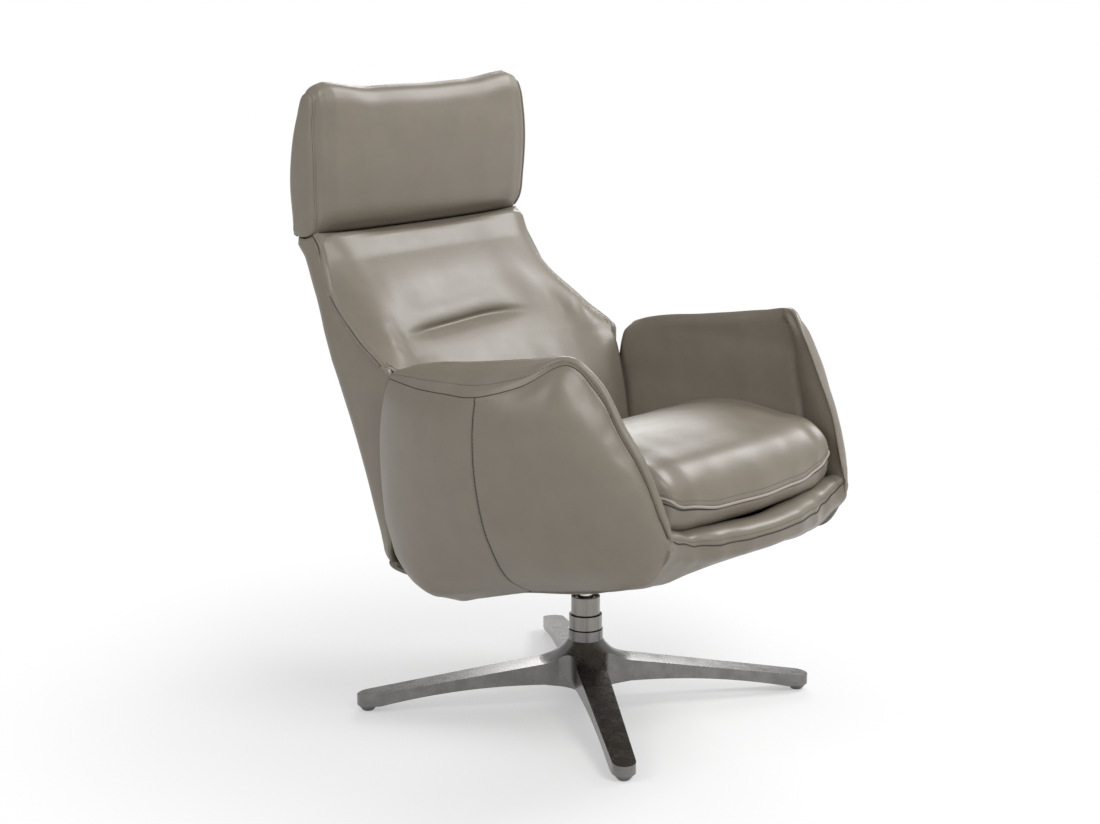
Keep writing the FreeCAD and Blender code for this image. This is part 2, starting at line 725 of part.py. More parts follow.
straps = []
strap_count = int(size("strap_count"))
for number in range(strap_count):
    strap = doc.addObject("Part::Box", f"strap_{number}")
    strap.setExpression("Length", bound("2 * " + rail_outer))
    strap.setExpression("Width", bound("strap_width"))
    strap.setExpression("Height", bound("strap_thickness"))
    start = f"(rail_front + 4 + {number} * (rail_rear - rail_front - 8 - strap_width) / {strap_count - 1})"
    strap.Placement = Placement(Vector(), Rotation(Vector(1, 0, 0), -1))
    at(strap, ("-" + rail_outer, start, f"deck_rear_height + (deck_rear_place - {start}) * {fall}"))
    strap.setExpression("Placement.Rotation.Angle", bound("-deck_slope"))
    straps.append(strap)
finish(group("straps", straps), "deck_straps")

# Recline hinge

bracket_near = rail_outer
bracket_corners = (
    ("rail_rear - 56", "pivot_height - 34"),
    ("pivot_place - 2", "pivot_height - pivot_eye_radius"),
    ("pivot_place + pivot_eye_radius - 2", "pivot_height - 2"),
    ("pivot_place - 2", "pivot_height + pivot_eye_radius"),
    ("rail_rear - 56", "pivot_height + 8"),
)
bracket_plate = side_plate("bracket_plate", bracket_corners, bracket_near, "bracket_thickness")
bracket_eye = cylinder(
    "bracket_eye", "pivot_eye_radius", "bracket_thickness", (bracket_near, "pivot_place", "pivot_height"), "x"
)
bracket_hole = cylinder(
    "bracket_hole",
    "pivot_pin_radius + fit_gap",
    "bracket_thickness + 2",
    (bracket_near + " - 1", "pivot_place", "pivot_height"),
    "x",
)
bracket = cut("bracket_left", fuse("bracket_blank", [bracket_plate, bracket_eye]), bracket_hole)
finish(bracket, "recline_bracket_left")
finish(mirrored(bracket, "bracket_right"), "recline_bracket_right")

plate_far = f"({bracket_near} - washer_gap)"
plate_near = f"({plate_far} - bracket_thickness)"
pin_start = f"({plate_near} - 16)"
pin = fuse(
    "pin_left",
    [
        cylinder(
            "pin_shank",
            "pivot_pin_radius",
            f"{bracket_near} + bracket_thickness - {pin_start}",
            (pin_start, "pivot_place", "pivot_height"),
            "x",
        ),
        cylinder(
            "pin_head",
            "pivot_pin_radius + 4",
            "4",
            (bracket_near + " + bracket_thickness", "pivot_place", "pivot_height"),
            "x",
        ),
    ],
)
finish(group("pins", [pin, mirrored(pin, "pin_right")]), "recline_pins")
washer = cut(
    "hinge_washer_left",
    cylinder(
        "hinge_washer_disc",
        "pivot_eye_radius - 4",
        "washer_gap - 2 * fit_gap",
        (plate_far + " + fit_gap", "pivot_place", "pivot_height"),
        "x",
    ),
    cylinder(
        "hinge_washer_hole",
        "pivot_pin_radius + fit_gap",
        "washer_gap",
        (plate_far, "pivot_place", "pivot_height"),
        "x",
    ),
)
finish(group("hinge_washers", [washer, mirrored(washer, "hinge_washer_right")]), "recline_washers")

# Back frame

REAR_LINE = ((172, 243), (203, 312), (245, 430), (302, 566), (370, 683), (424, 766), (424, 800))


def rear_place(z, inset=0.0):
    """Y of the back's rear face at a height, moved forward by an inset."""
    for (near, low), (far, high) in zip(REAR_LINE, REAR_LINE[1:]):
        if z <= high:
            return near + (far - near) * (z - low) / (high - low) - inset
    return REAR_LINE[-1][0] - inset


pivot_y = size("pivot_place")
pivot_z = size("pivot_height")
tilt_y = size("tilt_place")
tilt_z = size("tilt_height")
shell_wall = size("back_shell_thickness")
frame_back = shell_wall * 1.25 + size("seat_gap")
frame_front = frame_back + size("back_frame_depth")
plate_foot = size("back_pad_foot") - 3
plate_heights = [plate_foot] + [z for place, z in REAR_LINE[2:5]] + [size("plate_top_height")]
rear_edge = [(rear_place(z, frame_back), z) for z in plate_heights]
front_edge = [(rear_place(z, frame_front), z) for z in plate_heights]
eye = size("pivot_eye_radius")
frame_outline = (
    [(pivot_y - eye * 0.8, pivot_z + eye * 0.6), (pivot_y + eye * 0.5, pivot_z - eye * 0.85)]
    + rear_edge
    + front_edge[::-1]
)
back_plate = slab(frame_outline, {}, size(plate_near), size(plate_far))
back_plate = back_plate.fuse(bar_along_x(eye, size(plate_near), size(plate_far), pivot_y, pivot_z))
pin_hole = size("pivot_pin_radius + fit_gap")
back_plate = back_plate.cut(bar_along_x(pin_hole, size(plate_near) - 1, size(plate_far) + 1, pivot_y, pivot_z))
back_plate = back_plate.removeSplitter()
solid("back_plate_left", back_plate)
solid("back_plate_right", other_side(back_plate))

inner_reach = size(plate_near)
torque_tube = bar_along_x(size("torque_tube_radius"), -inner_reach, inner_reach, pivot_y, pivot_z)
for end in (-inner_reach - 1, inner_reach - 17):
    torque_tube = torque_tube.cut(bar_along_x(pin_hole, end, end + 18, pivot_y, pivot_z))
solid("torque_tube", torque_tube)

tube_middle = (frame_back + frame_front) / 2
for node in ("lower_back_tube", "middle_back_tube", "upper_back_tube"):
    z = size(node.replace("back_", "") + "_height")
    tube_y = rear_place(z, tube_middle)
    solid(node, bar_along_x(size("back_tube_radius"), -inner_reach, inner_reach, tube_y, z))
top_tube_height = size("upper_tube_height")
top_tube_place = rear_place(top_tube_height, tube_middle)

# Headrest hinge

arm_near = size("hinge_arm_place - hinge_arm_thickness / 2")
arm_far = size("hinge_arm_place + hinge_arm_thickness / 2")
half_arm = size("hinge_arm_width") / 2
elbow_y = tilt_y - size("hinge_elbow_lead")
elbow_z = tilt_z - size("hinge_elbow_drop")
arm_corners = (
    (elbow_y - half_arm, tilt_z),
    (elbow_y - half_arm, elbow_z),
    (top_tube_place - half_arm, top_tube_height + half_arm),
    (top_tube_place + half_arm, top_tube_height),
    (elbow_y + half_arm, elbow_z),
    (elbow_y + half_arm, tilt_z),
)
hinge_arm = slab(arm_corners, {}, arm_near, arm_far)
hinge_arm = hinge_arm.fuse(bar_along_x(size("hinge_eye_radius"), arm_near, arm_far, tilt_y, tilt_z))
clamp_radius = size("back_tube_radius + hinge_clamp_wall")
foot_clamp = bar_along_x(clamp_radius, arm_near, arm_far, top_tube_place, top_tube_height)
hinge_arm = hinge_arm.fuse(foot_clamp)
tube_hole_radius = size("back_tube_radius + fit_gap")
hinge_arm = hinge_arm.cut(
    bar_along_x(tube_hole_radius, arm_near - 1, arm_far + 1, top_tube_place, top_tube_height)
)
hinge_arm = hinge_arm.cut(bar_along_x(size("hinge_pin_radius + fit_gap"), arm_near - 1, arm_far + 1, tilt_y, tilt_z))
hinge_arm = hinge_arm.removeSplitter()
solid("headrest_arms", Part.makeCompound([hinge_arm, other_side(hinge_arm)]))

# Gas spring, its anchor and its lever

side = size("spring_side")
eye_half = size("spring_eye_width") / 2
cheek = size("cheek_thickness")
gap = size("seat_gap")
spring_pin = size("spring_pin_radius")
eye_round = size("spring_eye_radius")
anchor = Vector(side, size("spring_anchor_place"), size("spring_anchor_height"))
lever_pin = Vector(side, pivot_y + size("lever_back"), pivot_z - size("lever_drop"))
spring_way = lever_pin - anchor
spring_span = spring_way.Length
spring_way.normalize()


def eye_ring(centre, outer, inner, near, far):
    ring_solid = bar_along_x(outer, near, far, centre.y, centre.z)
    return ring_solid.cut(bar_along_x(inner, near - 1, far + 1, centre.y, centre.z))


def pin_between(centre, radius):
    reach = eye_half + gap + cheek + 2
    return bar_along_x(radius, side - reach, side + reach, centre.y, centre.z)


def cheeks(corners, centre, radius):
    """Two plates astride the gas spring, with a hole for a pin."""
    plates = []
    for near in (side + eye_half + gap, side - eye_half - gap - cheek):
        plate = slab(corners, {}, near, near + cheek)
        plate = plate.fuse(bar_along_x(radius, near, near + cheek, centre.y, centre.z))
        hole = bar_along_x(spring_pin + size("fit_gap"), near - 1, near + cheek + 1, centre.y, centre.z)
        plates.append(plate.cut(hole).removeSplitter())
    return plates


bar_rear = -size(bolt_reach) + size("bar_width") / 2
bar_floor = size(plate_top)
anchor_corners = (
    (bar_rear, bar_floor),
    (bar_rear, bar_floor + size("bar_height")),
    (anchor.y + 4, bar_floor + size("bar_height")),
    (anchor.y + 9, anchor.z),
    (anchor.y - 4, anchor.z - 8),
)
anchor_plates = cheeks(anchor_corners, anchor, eye_round)
anchor_web = block_between(
    (side - eye_half - gap - cheek, bar_rear, bar_floor + 4),
    (side + eye_half + gap + cheek, bar_rear + 3, bar_floor + size("bar_height")),
)
spring_anchor = anchor_plates[0].fuse([anchor_plates[1], anchor_web])
solid("spring_anchor", spring_anchor.removeSplitter())
solid("spring_anchor_pin", pin_between(anchor, spring_pin))

tube_run = size("spring_tube_length")
tube_end = anchor + spring_way * tube_run
front_eye = eye_ring(anchor, eye_round, spring_pin + size("fit_gap"), side - eye_half, side + eye_half)
neck = Part.makeCylinder(eye_half - 0.5, 10, anchor + spring_way * (eye_round - 3), spring_way)
tube_blank = Part.makeCylinder(
    size("spring_tube_radius"), tube_run - eye_round - 3, anchor + spring_way * (eye_round + 3), spring_way
)
bore_run = tube_run - eye_round - 9
rod_bore = Part.makeCylinder(
    size("spring_rod_radius + fit_gap"), bore_run, tube_end - spring_way * (bore_run - 1), spring_way
)
gas_cylinder = front_eye.fuse([neck, tube_blank]).cut(rod_bore).removeSplitter()
solid("gas_spring_cylinder", gas_cylinder)
pin_room = spring_pin + size("spring_play")
rear_eye = eye_ring(lever_pin, pin_room + 4, pin_room, side - eye_half, side + eye_half)
rod_length = spring_span - tube_run - pin_room - 3 + 30
rod = Part.makeCylinder(size("spring_rod_radius"), rod_length, tube_end - spring_way * 30, spring_way)
solid("gas_spring_rod", rod.fuse(rear_eye).removeSplitter())

torque = size("torque_tube_radius")
lever_corners = (
    (pivot_y + torque, pivot_z),
    (lever_pin.y + eye_round - 1, lever_pin.z),
    (lever_pin.y - eye_round + 1, lever_pin.z),
    (pivot_y - torque, pivot_z),
)
lever_plates = []
for plate in cheeks(lever_corners, lever_pin, eye_round):
    near = plate.BoundBox.XMin
    hub = bar_along_x(torque + 5, near, near + cheek, pivot_y, pivot_z)
    plate = plate.fuse(hub)
    hole = bar_along_x(torque + size("fit_gap"), near - 1, near + cheek + 1, pivot_y, pivot_z)
    lever_plates.append(plate.cut(hole).removeSplitter())
solid("spring_lever", Part.makeCompound(lever_plates))
solid("spring_lever_pin", pin_between(lever_pin, spring_pin))

# Tub: underside panel, lip and arms

PAN_LINE = ((-352, 326), (-295, 302), (-220, 281), (-60, 250), (40, 226))
wall = size("pan_thickness")
sweep = size("back_sweep_radius")
pan_round = sweep + 2 + wall
pan_reach = size("pan_front_reach")
half_pan = size("pan_half_width")


def bow(x):
    """How far the front edge lies behind its middle at one X."""
    share = min(abs(x) / half_pan, 1)
    return size("front_bow") * share * share


def about_pivot(radius, degrees):
    """A (Y, Z) place round the recline pivot, degrees measured down from +Y."""
    turn = math.radians(degrees)
    return (pivot_y + radius * math.cos(turn), pivot_z - radius * math.sin(turn))


def pan_section(x):
    back = bow(x)
    outer = [(-pan_reach + back, 349)]
    for y, z in PAN_LINE:
        outer.append((y + back * smooth(y, ((-352, 1), (-200, 0))), z))
    outer.append(about_pivot(pan_round, 90))
    outer.append(about_pivot(pan_round, 64))
    inner = [about_pivot(pan_round - wall, 64), about_pivot(pan_round - wall, 90)]
    for y, z in reversed(PAN_LINE):
        inner.append((y + back * smooth(y, ((-352, 1), (-200, 0))), z + wall * 1.05))
    inner[-1] = (inner[-1][0] + 4, inner[-1][1])
    inner.append((-pan_reach + back + wall, 353))
    bends = {
        len(outer) - 2: about_pivot(pan_round, 77),
        len(outer): about_pivot(pan_round - wall, 77),
    }
    return section(x, outer + inner, bends)


pan_places = [half_pan * share for share in (-1, -0.75, -0.4, 0, 0.4, 0.75, 1)]
pan = loft([pan_section(x) for x in pan_places])
pan = pan.cut(Part.makeCylinder(size("pan_hole_radius"), 100, Vector(0, 0, 200)))
solid("tub_pan", pan)

lip_half = half_pan - 29


def lip_section(x):
    back = bow(x)
    rise = smooth(abs(x), ((0, 0), (120, 2), (lip_half, 9)))
    seam = -pan_reach - 4 + back
    corners = (
        (seam, 361 + rise),
        (seam + 46, 366),
        (seam + 46, 357),
        (seam + 4 + wall, 353.6),
        (seam + 2, 349.8),
    )
    return section(x, corners, {0: (seam + 24, 376.5 + rise * 0.4)})


lip_places = [lip_half * share for share in (-1, -0.75, -0.4, 0, 0.4, 0.75, 1)]
solid("front_lip", loft([lip_section(x) for x in lip_places]))

ARM_ROWS = (
    # Y; outside inward of the arm's half width; corner sharpness; underside height;
    # seam inward and down from the half width and the peak; ridge inward and down from its place and the peak;
    # inner face inward of its high and low places; height of the inner face's foot
    (163, 48, 0.22, 218, 60, 72, -7, 61, 7, -16, 330),
    (120, 29, 0.24, 211, 44, 71, -1, 48, 1, -6, 322),
    (60, 12, 0.34, 223, 25, 70, 0, 37, 0, 0, 322),
    (-15, 2, 0.5, 240, 12, 67, 0, 27, 0, 0, 332),
    (-85, 0, 0.62, 256, 8, 62, 0, 17, 0, 0, 342),
    (-150, 8, 0.64, 268, 32, 42, 1, 6, 0, 0, 352),
    (-208, 26, 0.64, 280, 75, 8, 9, 0, 9, 0, 360),
    (-246, 44, 0.64, 289, 97, 46, 27, 34, 28, 1, 364),
    (-283, 66, 0.62, 300, 105, 107, 35, 95, 36, 3, 362),
    (-315, 89, 0.6, 312, 115, 159, 44, 149, 47, 15, 359),
    (-345, 116, 0.6, 333, 128, 234, 57, 227, 64, 32, 356),
)


def arm_station(row):
    y, outside, sharp, under, seam_in, seam_drop, ridge_in, ridge_drop, high_in, low_in, foot = row
    half = size("arm_half_width")
    peak = size("arm_peak_height")
    return (
        y,
        half - outside,
        sharp,
        under,
        half - seam_in,
        peak - seam_drop,
        size("arm_ridge_place") - ridge_in,
        peak - ridge_drop,
        size("arm_inner_high") - high_in,
        size("arm_inner_low") - low_in,
        foot,
    )


ARM_STATIONS = [arm_station(row) for row in ARM_ROWS]


def arm_point(station, part, inset):
    """A point on an arm's outer side, part of the way up from the underside to the seam."""
    y, outside, sharp, under, seam_x, seam_z = station[:6]
    level = under + (seam_z - under) * part
    share = min(part / 0.8, 1)
    bulge = (1 - (1 - share) ** 2) ** sharp
    x = half_pan + (outside - half_pan) * bulge
    if part > 0.8:
        turn = (part - 0.8) / 0.2
        x = outside + (seam_x - outside) * turn * turn
    lean = max(0.0, 1 - share)
    return Vector(max(x - inset * (1 - 0.5 * lean), half_pan), y, level + inset * (0.2 + 0.8 * lean))


def arm_wall(outside):
    """Thickness of the outer panel, which thins where the arm runs out to the front."""
    thick = size("arm_shell_thickness")
    return max(thick / 3, thick * min(1, (outside - half_pan) / 80))


def arm_shell_section(station):
    y, outside, sharp, under, seam_x, seam_z = station[:6]
    wall_in = arm_wall(outside)
    outer = [arm_point(station, part, 0) for part in (0, 0.1, 0.3, 0.55, 0.8, 0.92, 1)]
    inner = [arm_point(station, part, wall_in) for part in (0, 0.1, 0.3, 0.55, 0.8)]
    inner_top = Vector(seam_x - wall_in * 0.7, y, seam_z - wall_in * 1.1)
    bend_top = (inner[4] + inner_top) * 0.5 + Vector(wall_in * 0.12, 0, wall_in * 0.12)
    points = [outer[0], outer[2], outer[4], outer[6], inner_top, inner[4], inner[2], inner[0]]
    bends = {0: outer[1], 1: outer[3], 2: outer[5], 4: bend_top, 5: inner[3], 6: inner[1]}
    return wire(points, bends)


def arm_pad_section(station):
    y, outside, sharp, under, seam_x, seam_z, ridge_x, ridge_z, high, low, floor = station
    room = max(outside - size("arm_shell_thickness") - low, 14)
    thick = min(size("arm_pad_thickness"), room * 0.45)
    slope = ridge_z - seam_z
    ease = smooth(-y, ((208, 1.5), (246, 2.5), (283, 3), (315, 4)))
    wide = seam_x - ease - ridge_x
    corner = Vector(low, y, floor)
    shoulder_z = ridge_z - max(14.0, 0.12 * (ridge_z - floor))
    shoulder = Vector(high, y, shoulder_z)
    ridge = Vector(ridge_x, y, ridge_z)
    seam = Vector(seam_x - ease, y, seam_z - 0.2)
    under_seam = Vector(seam_x - 0.7 * arm_wall(outside) - ease - 1.1, y, seam_z - 15)
    tuck = Vector(min(high + thick, under_seam.x - 0.5), y, shoulder_z - 22)
    base = Vector(low + thick, y, floor)
    points = [corner, shoulder, ridge, seam, under_seam, tuck, base]
    face_bend = Vector(low + (high - low) * 0.62, y, floor + (shoulder_z - floor) * 0.55)
    ridge_bend = Vector(high + (ridge_x - high) * 0.35 - 1, y, shoulder_z + (ridge_z - shoulder_z) * 0.65)
    crescent_bend = Vector(ridge_x + wide * 0.55 + 1, y, seam_z + slope * 0.55 + 3)
    return wire(points, {0: face_bend, 1: ridge_bend, 2: crescent_bend})


# the arms' rounded lower rear corner, which leaves the back room to swing
ARM_REAR_EDGE = ((164, 411), (159, 346), (145, 295), (127, 267), (112, 240), (104, 190))
corner_room = slab(ARM_REAR_EDGE + ((260, 190), (260, 411)), {}, 0, 2 * half_pan)


def seat_plan(growth):
    """The cushion's place seen from above, as a prism along Z."""
    side_x = size("cushion_half_width") + growth
    half = [(side_x, 200), (side_x, -284), (side_x - 9, -312), (side_x - 31, -341)]
    corners = half + [(0, -420)] + [(-x, y) for x, y in reversed(half)]
    return Part.Face(wire([Vector(x, y, 300) for x, y in corners], {})).extrude(Vector(0, 0, 300))


arm_shell = loft([arm_shell_section(station) for station in ARM_STATIONS]).cut(corner_room)
solid("arm_shell_left", arm_shell)
solid("arm_shell_right", other_side(arm_shell))
arm_pad = loft([arm_pad_section(station) for station in ARM_STATIONS])
arm_pad = arm_pad.cut(corner_room).cut(seat_plan(2 * gap))
solid("arm_pad_left", arm_pad)
solid("arm_pad_right", other_side(arm_pad))

# Seat cushion

cushion_half = size("cushion_half_width")
cushion_front = size("cushion_front")
cushion_rear = size("cushion_rear")
crown = size("cushion_crown")
strap_top = size("strap_thickness") / math.cos(math.radians(size("deck_slope"))) + gap
sink = 2.5


def cushion_section(x):
    share = abs(x) / cushion_half
    draw = smooth(share, ((0, 0), (0.35, 6), (0.65, 14), (0.85, 26), (0.95, 46), (1, 80)))
    pipe_rise = smooth(share, ((0, 0), (0.6, 5), (0.85, 18), (0.95, 34), (1, 46)))
    drop = smooth(share, ((0, 0), (0.6, 2), (0.88, 6), (0.96, 16), (1, 34)))
    lift = smooth(share, ((0, 0), (0.9, 0), (0.96, 6), (1, 20)))
    rear_in = smooth(share, ((0, 0), (0.85, 0), (0.95, 10), (1, 30)))
    front = cushion_front + draw
    rear = cushion_rear - rear_in
    top = crown - drop
    base_front = front + 45
    base_rear = rear - 34
    corners = (
        (base_rear, deck_height(base_rear) + strap_top + lift - sink),
        (base_front, deck_height(base_front) + strap_top + lift - sink),
        (front, 414 + pipe_rise),
        (front + 95, top - 10),
        (rear - 26, top - 68),
        (rear - 6, 352 + lift),
    )
    middles = {
        1: (front + 11, deck_height(front) + 12 + lift + pipe_rise * 0.3),
        2: (front + 19, (414 + pipe_rise) * 0.3 + (top - 10) * 0.7),
        3: (front + 233, top - 12),
        4: (rear + 1, 406 - drop * 0.5),
    }
    return section(x, corners, middles)


cushion_places = [cushion_half * share for share in (-1, -0.95, -0.85, -0.6, -0.3, 0, 0.3, 0.6, 0.85, 0.95, 1)]
cushion = loft([cushion_section(x) for x in cushion_places]).common(seat_plan(0))
deck_front = -420
deck_end = 200
under_deck = slab(
    (
        (deck_front, deck_height(deck_front) + strap_top),
        (deck_end, deck_height(deck_end) + strap_top),
        (deck_end, 200),
        (deck_front, 200),
    ),
    {},
    -2 * cushion_half,
    2 * cushion_half,
)
solid("seat_cushion", cushion.cut(under_deck))

# Back: rear shell and front pad

half_back = size("back_half_width")
half_top = size("back_top_half_width")
half_inner = size("back_inner_half_width")
half_foot = size("back_foot_half_width")
arm_back = size("arm_rear") + 5
WELT_LINE = ((371, 778), (350, 741), (317, 676), (252, 627), (202, 599), (arm_back, 579))


def front_outline(inset):
    """The back seen from the front, as a prism along Y."""
    wide = half_back - inset
    narrow = half_top - inset
    corners = [(-wide, 180), (wide, 180), (wide, 579), (wide - 24, 672), (narrow, 790), (narrow, 860)]
    corners += [(-narrow, 860), (-narrow, 790), (-wide + 24, 672), (-wide, 579)]
    points = [Vector(x, -100, z) for x, z in corners]
    bends = {
        2: Vector(wide - 9, -100, 626),
        3: Vector(narrow + 3.5, -100, 730),
        7: Vector(-narrow - 3.5, -100, 730),
        8: Vector(-wide + 9, -100, 626),
    }
    return Part.Face(wire(points, bends)).extrude(Vector(0, 700, 0))


def rear_corners(inset):
    """Rear and lower edge of the back from the headrest down to its rolled-under end."""
    down = [(place - inset, z) for place, z in reversed(REAR_LINE[1:])]
    down.append(about_pivot(sweep - inset * 0.8, 20))
    down.append(about_pivot(sweep - inset * 0.8, 66))
    return down


tilt_cut = bar_along_x(size("tilt_radius") + 1, -400, 400, tilt_y, tilt_z)
neck_cut = block_between((-400, 200, tilt_z - 20), (400, 600, 900))
low_room = block_between((half_foot, 0, 150), (400, arm_back, 398))
wing_room = block_between((half_inner, 0, 397), (400, arm_back, 581))
pivot_room = bar_along_x(50, half_foot, 400, pivot_y, pivot_z)


def clear_of_chair(shape):
    """Cut away the room of the headrest, the arms and the recline brackets."""
    tools = [tilt_cut, neck_cut]
    for tool in (low_room, wing_room, pivot_room):
        tools += [tool, other_side(tool)]
    for tool in tools:
        shape = shape.cut(tool)
    return shape


shell_rear = rear_corners(0)
shell_front = [(arm_back - 30, 300), (arm_back, 579)] + [place for place in reversed(WELT_LINE[:-1])] + [(394, 800)]
shell_edge = shell_rear + [about_pivot(sweep - 24, 66)] + shell_front[1:]
bottom_bend = {len(shell_rear) - 2: about_pivot(sweep, 43)}
outer_block = slab(shell_edge, bottom_bend, -half_back, half_back)
inner_rear = rear_corners(shell_wall * 1.25)
inner_edge = inner_rear[:-1] + [about_pivot(sweep - shell_wall, 70), (60, 230), (60, 560), (330, 830)]
inner_bend = {len(inner_rear) - 2: about_pivot(sweep - shell_wall, 45)}
inner_block = slab(inner_edge, inner_bend, -half_back, half_back).common(front_outline(shell_wall))
back_shell = clear_of_chair(outer_block.common(front_outline(0)).cut(inner_block))
solid("back_shell", back_shell.removeSplitter())

pad_half = half_back - shell_wall - gap
PAD_STATIONS = (
    # share of the width, then Y at the foot, lower bend, middle, upper bend, crease, top bend and top
    (0.0, 97, 113, 158, 196, 246, 302, 381),
    (0.36, 96, 112, 155, 193, 242, 300, 380),
    (0.68, 94, 106, 143, 180, 224, 296, 377),
    (0.88, 95, 107, 132, 162, 220, 308, 374),
    (1.0, 100, 112, 134, 160, 236, 330, 372),
)
PAD_HEIGHTS = (size("back_pad_foot"), 430, 510, 566, 619, 700, 781)


def pad_section(x, places):
    corners = [
        (places[0], PAD_HEIGHTS[0]),
        (places[2], PAD_HEIGHTS[2]),
        (places[4], PAD_HEIGHTS[4]),
        (places[6], PAD_HEIGHTS[6]),
    ]
    middles = {i: (places[2 * i + 1], PAD_HEIGHTS[2 * i + 1]) for i in range(3)}
    for z in [PAD_HEIGHTS[6]] + [height for place, height in reversed(REAR_LINE[2:6])] + [PAD_HEIGHTS[0]]:
        corners.append((rear_place(z, frame_front + gap), z))
    return section(x, corners, middles)


pad_wires = []
for share, *places in reversed(PAD_STATIONS):
    pad_wires.append(pad_section(-share * pad_half, places))
for share, *places in PAD_STATIONS[1:]:
    pad_wires.append(pad_section(share * pad_half, places))
back_pad = loft(pad_wires).common(front_outline(shell_wall + gap))
solid("back_pad", clear_of_chair(back_pad))

# Headrest

head_half = size("headrest_half_width")
head_top = size("headrest_top")
under_round = size("tilt_radius")


def under_headrest(y):
    run = y - tilt_y
    return (y, tilt_z - math.sqrt(under_round * under_round - run * run))


def headrest_section(x):
    share = abs(x) / head_half
    sag = size("headrest_sag") * smooth(share, ((0, 1), (0.5, 0.7), (0.85, 0), (1, 0.35)))
    draw = smooth(share, ((0, 0), (0.6, 2), (0.88, 10), (1, 24)))
    top = head_top - sag
    corners = (
        under_headrest(tilt_y - 27),
        (352 + draw * 0.7, top - 26),
        (379, top),
        (397, top - 12),
        (424, 828),
        under_headrest(424),
    )
    middles = {
        0: (346 + draw, 885),
        1: (360 + draw * 0.4, top - 5),
        2: (390, top - 2.5),
        3: (414, 925),
        5: (tilt_y - 3, tilt_z - math.sqrt(under_round * under_round - 9)),
    }
    return section(x, corners, middles)


head_places = [head_half * share for share in (-1, -0.88, -0.6, 0, 0.6, 0.88, 1)]
headrest = loft([headrest_section(x) for x in head_places])
plate_y = tilt_y - size("headrest_plate_thickness") / 2
plate_wide = size("headrest_plate_half_width")
plate_top_z = tilt_z + size("plate_rise")
plate_slot = block_between(
    (-plate_wide - gap, plate_y - gap, tilt_z - 2 * under_round),
    (plate_wide + gap, tilt_y + size("headrest_plate_thickness") / 2 + gap, plate_top_z + gap),
)
headrest = headrest.cut(plate_slot)
ear_gap = size("ear_clearance")
ear_thick = size("ear_thickness")
ear_round = size("ear_radius")
ear_top = tilt_z + 2 * ear_round
room_near = arm_near - ear_gap - ear_thick - 3
room_far = arm_far + ear_gap + ear_thick + 3
room_corners = (
    (tilt_y - ear_round - 4, ear_top + gap),
    (tilt_y - ear_round - 4, tilt_z),
    (tilt_y - under_round * 0.54, tilt_z - under_round * 1.25),
    (tilt_y + under_round * 0.32, tilt_z - under_round * 1.25),
    (tilt_y + ear_round + 4, tilt_z),
    (tilt_y + ear_round + 4, ear_top + gap),
)
arm_room = slab(room_corners, {}, room_near, room_far)
headrest = headrest.cut(arm_room).cut(other_side(arm_room))
solid("headrest_pad", headrest)

head_plate = block_between(
    (-plate_wide, plate_y, tilt_z + size("plate_foot_rise")),
    (plate_wide, tilt_y + size("headrest_plate_thickness") / 2, plate_top_z),
)
ear_front = tilt_y - ear_round
ear_rear = tilt_y + ear_round
ears = []
for near in (arm_near - ear_gap - ear_thick, arm_far + ear_gap):
    ear = slab(
        ((ear_front, tilt_z), (ear_front, ear_top), (ear_rear, ear_top), (ear_rear, tilt_z)),
        {},
        near,
        near + ear_thick,
    )
    ear = ear.fuse(bar_along_x(ear_round, near, near + ear_thick, tilt_y, tilt_z))
    ear = ear.cut(bar_along_x(size("hinge_pin_radius + fit_gap"), near - 1, near + ear_thick + 1, tilt_y, tilt_z))
    ears += [ear, other_side(ear)]
solid("headrest_plate", head_plate.fuse(ears).removeSplitter())
head_pin = bar_along_x(
    size("hinge_pin_radius"), arm_near - ear_gap - ear_thick - 1, arm_far + ear_gap + ear_thick + 1, tilt_y, tilt_z
)
solid("headrest_pins", Part.makeCompound([head_pin, other_side(head_pin)]))

doc.recompute()
for thing in doc.Objects:
    if "Invalid" in thing.State or "Error" in thing.State:
        raise RuntimeError(f"{thing.Label} failed: {thing.State}")

os.makedirs("parts", exist_ok=True)
for thing in FINISHED:
    shape = thing.Shape
    if shape.isNull() or not shape.isValid() or not shape.Solids:
        raise RuntimeError(f"{thing.Label} has no valid solid")
    shape.exportStep(f"parts/{thing.Label}.step")
    print(f"{thing.Label}: {len(shape.Solids)} solid, {shape.Volume / 1000:.1f} cm3")
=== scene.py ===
import math

import bmesh
import bpy
import numpy as np
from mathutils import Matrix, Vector, noise


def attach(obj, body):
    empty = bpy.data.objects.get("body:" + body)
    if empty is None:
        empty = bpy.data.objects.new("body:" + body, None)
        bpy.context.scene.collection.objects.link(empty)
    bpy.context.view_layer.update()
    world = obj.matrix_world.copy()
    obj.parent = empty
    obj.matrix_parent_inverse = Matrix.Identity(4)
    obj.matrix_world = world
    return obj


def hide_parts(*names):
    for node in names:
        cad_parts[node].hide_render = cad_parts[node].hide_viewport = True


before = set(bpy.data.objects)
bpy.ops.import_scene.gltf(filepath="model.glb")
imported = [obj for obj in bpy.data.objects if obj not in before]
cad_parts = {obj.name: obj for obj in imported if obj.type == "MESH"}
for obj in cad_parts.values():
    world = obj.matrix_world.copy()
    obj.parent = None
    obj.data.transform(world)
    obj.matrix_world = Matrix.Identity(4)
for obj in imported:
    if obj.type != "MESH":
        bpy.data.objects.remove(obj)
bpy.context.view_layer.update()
MM = 0.001

# Curves and grids of points, in millimetres


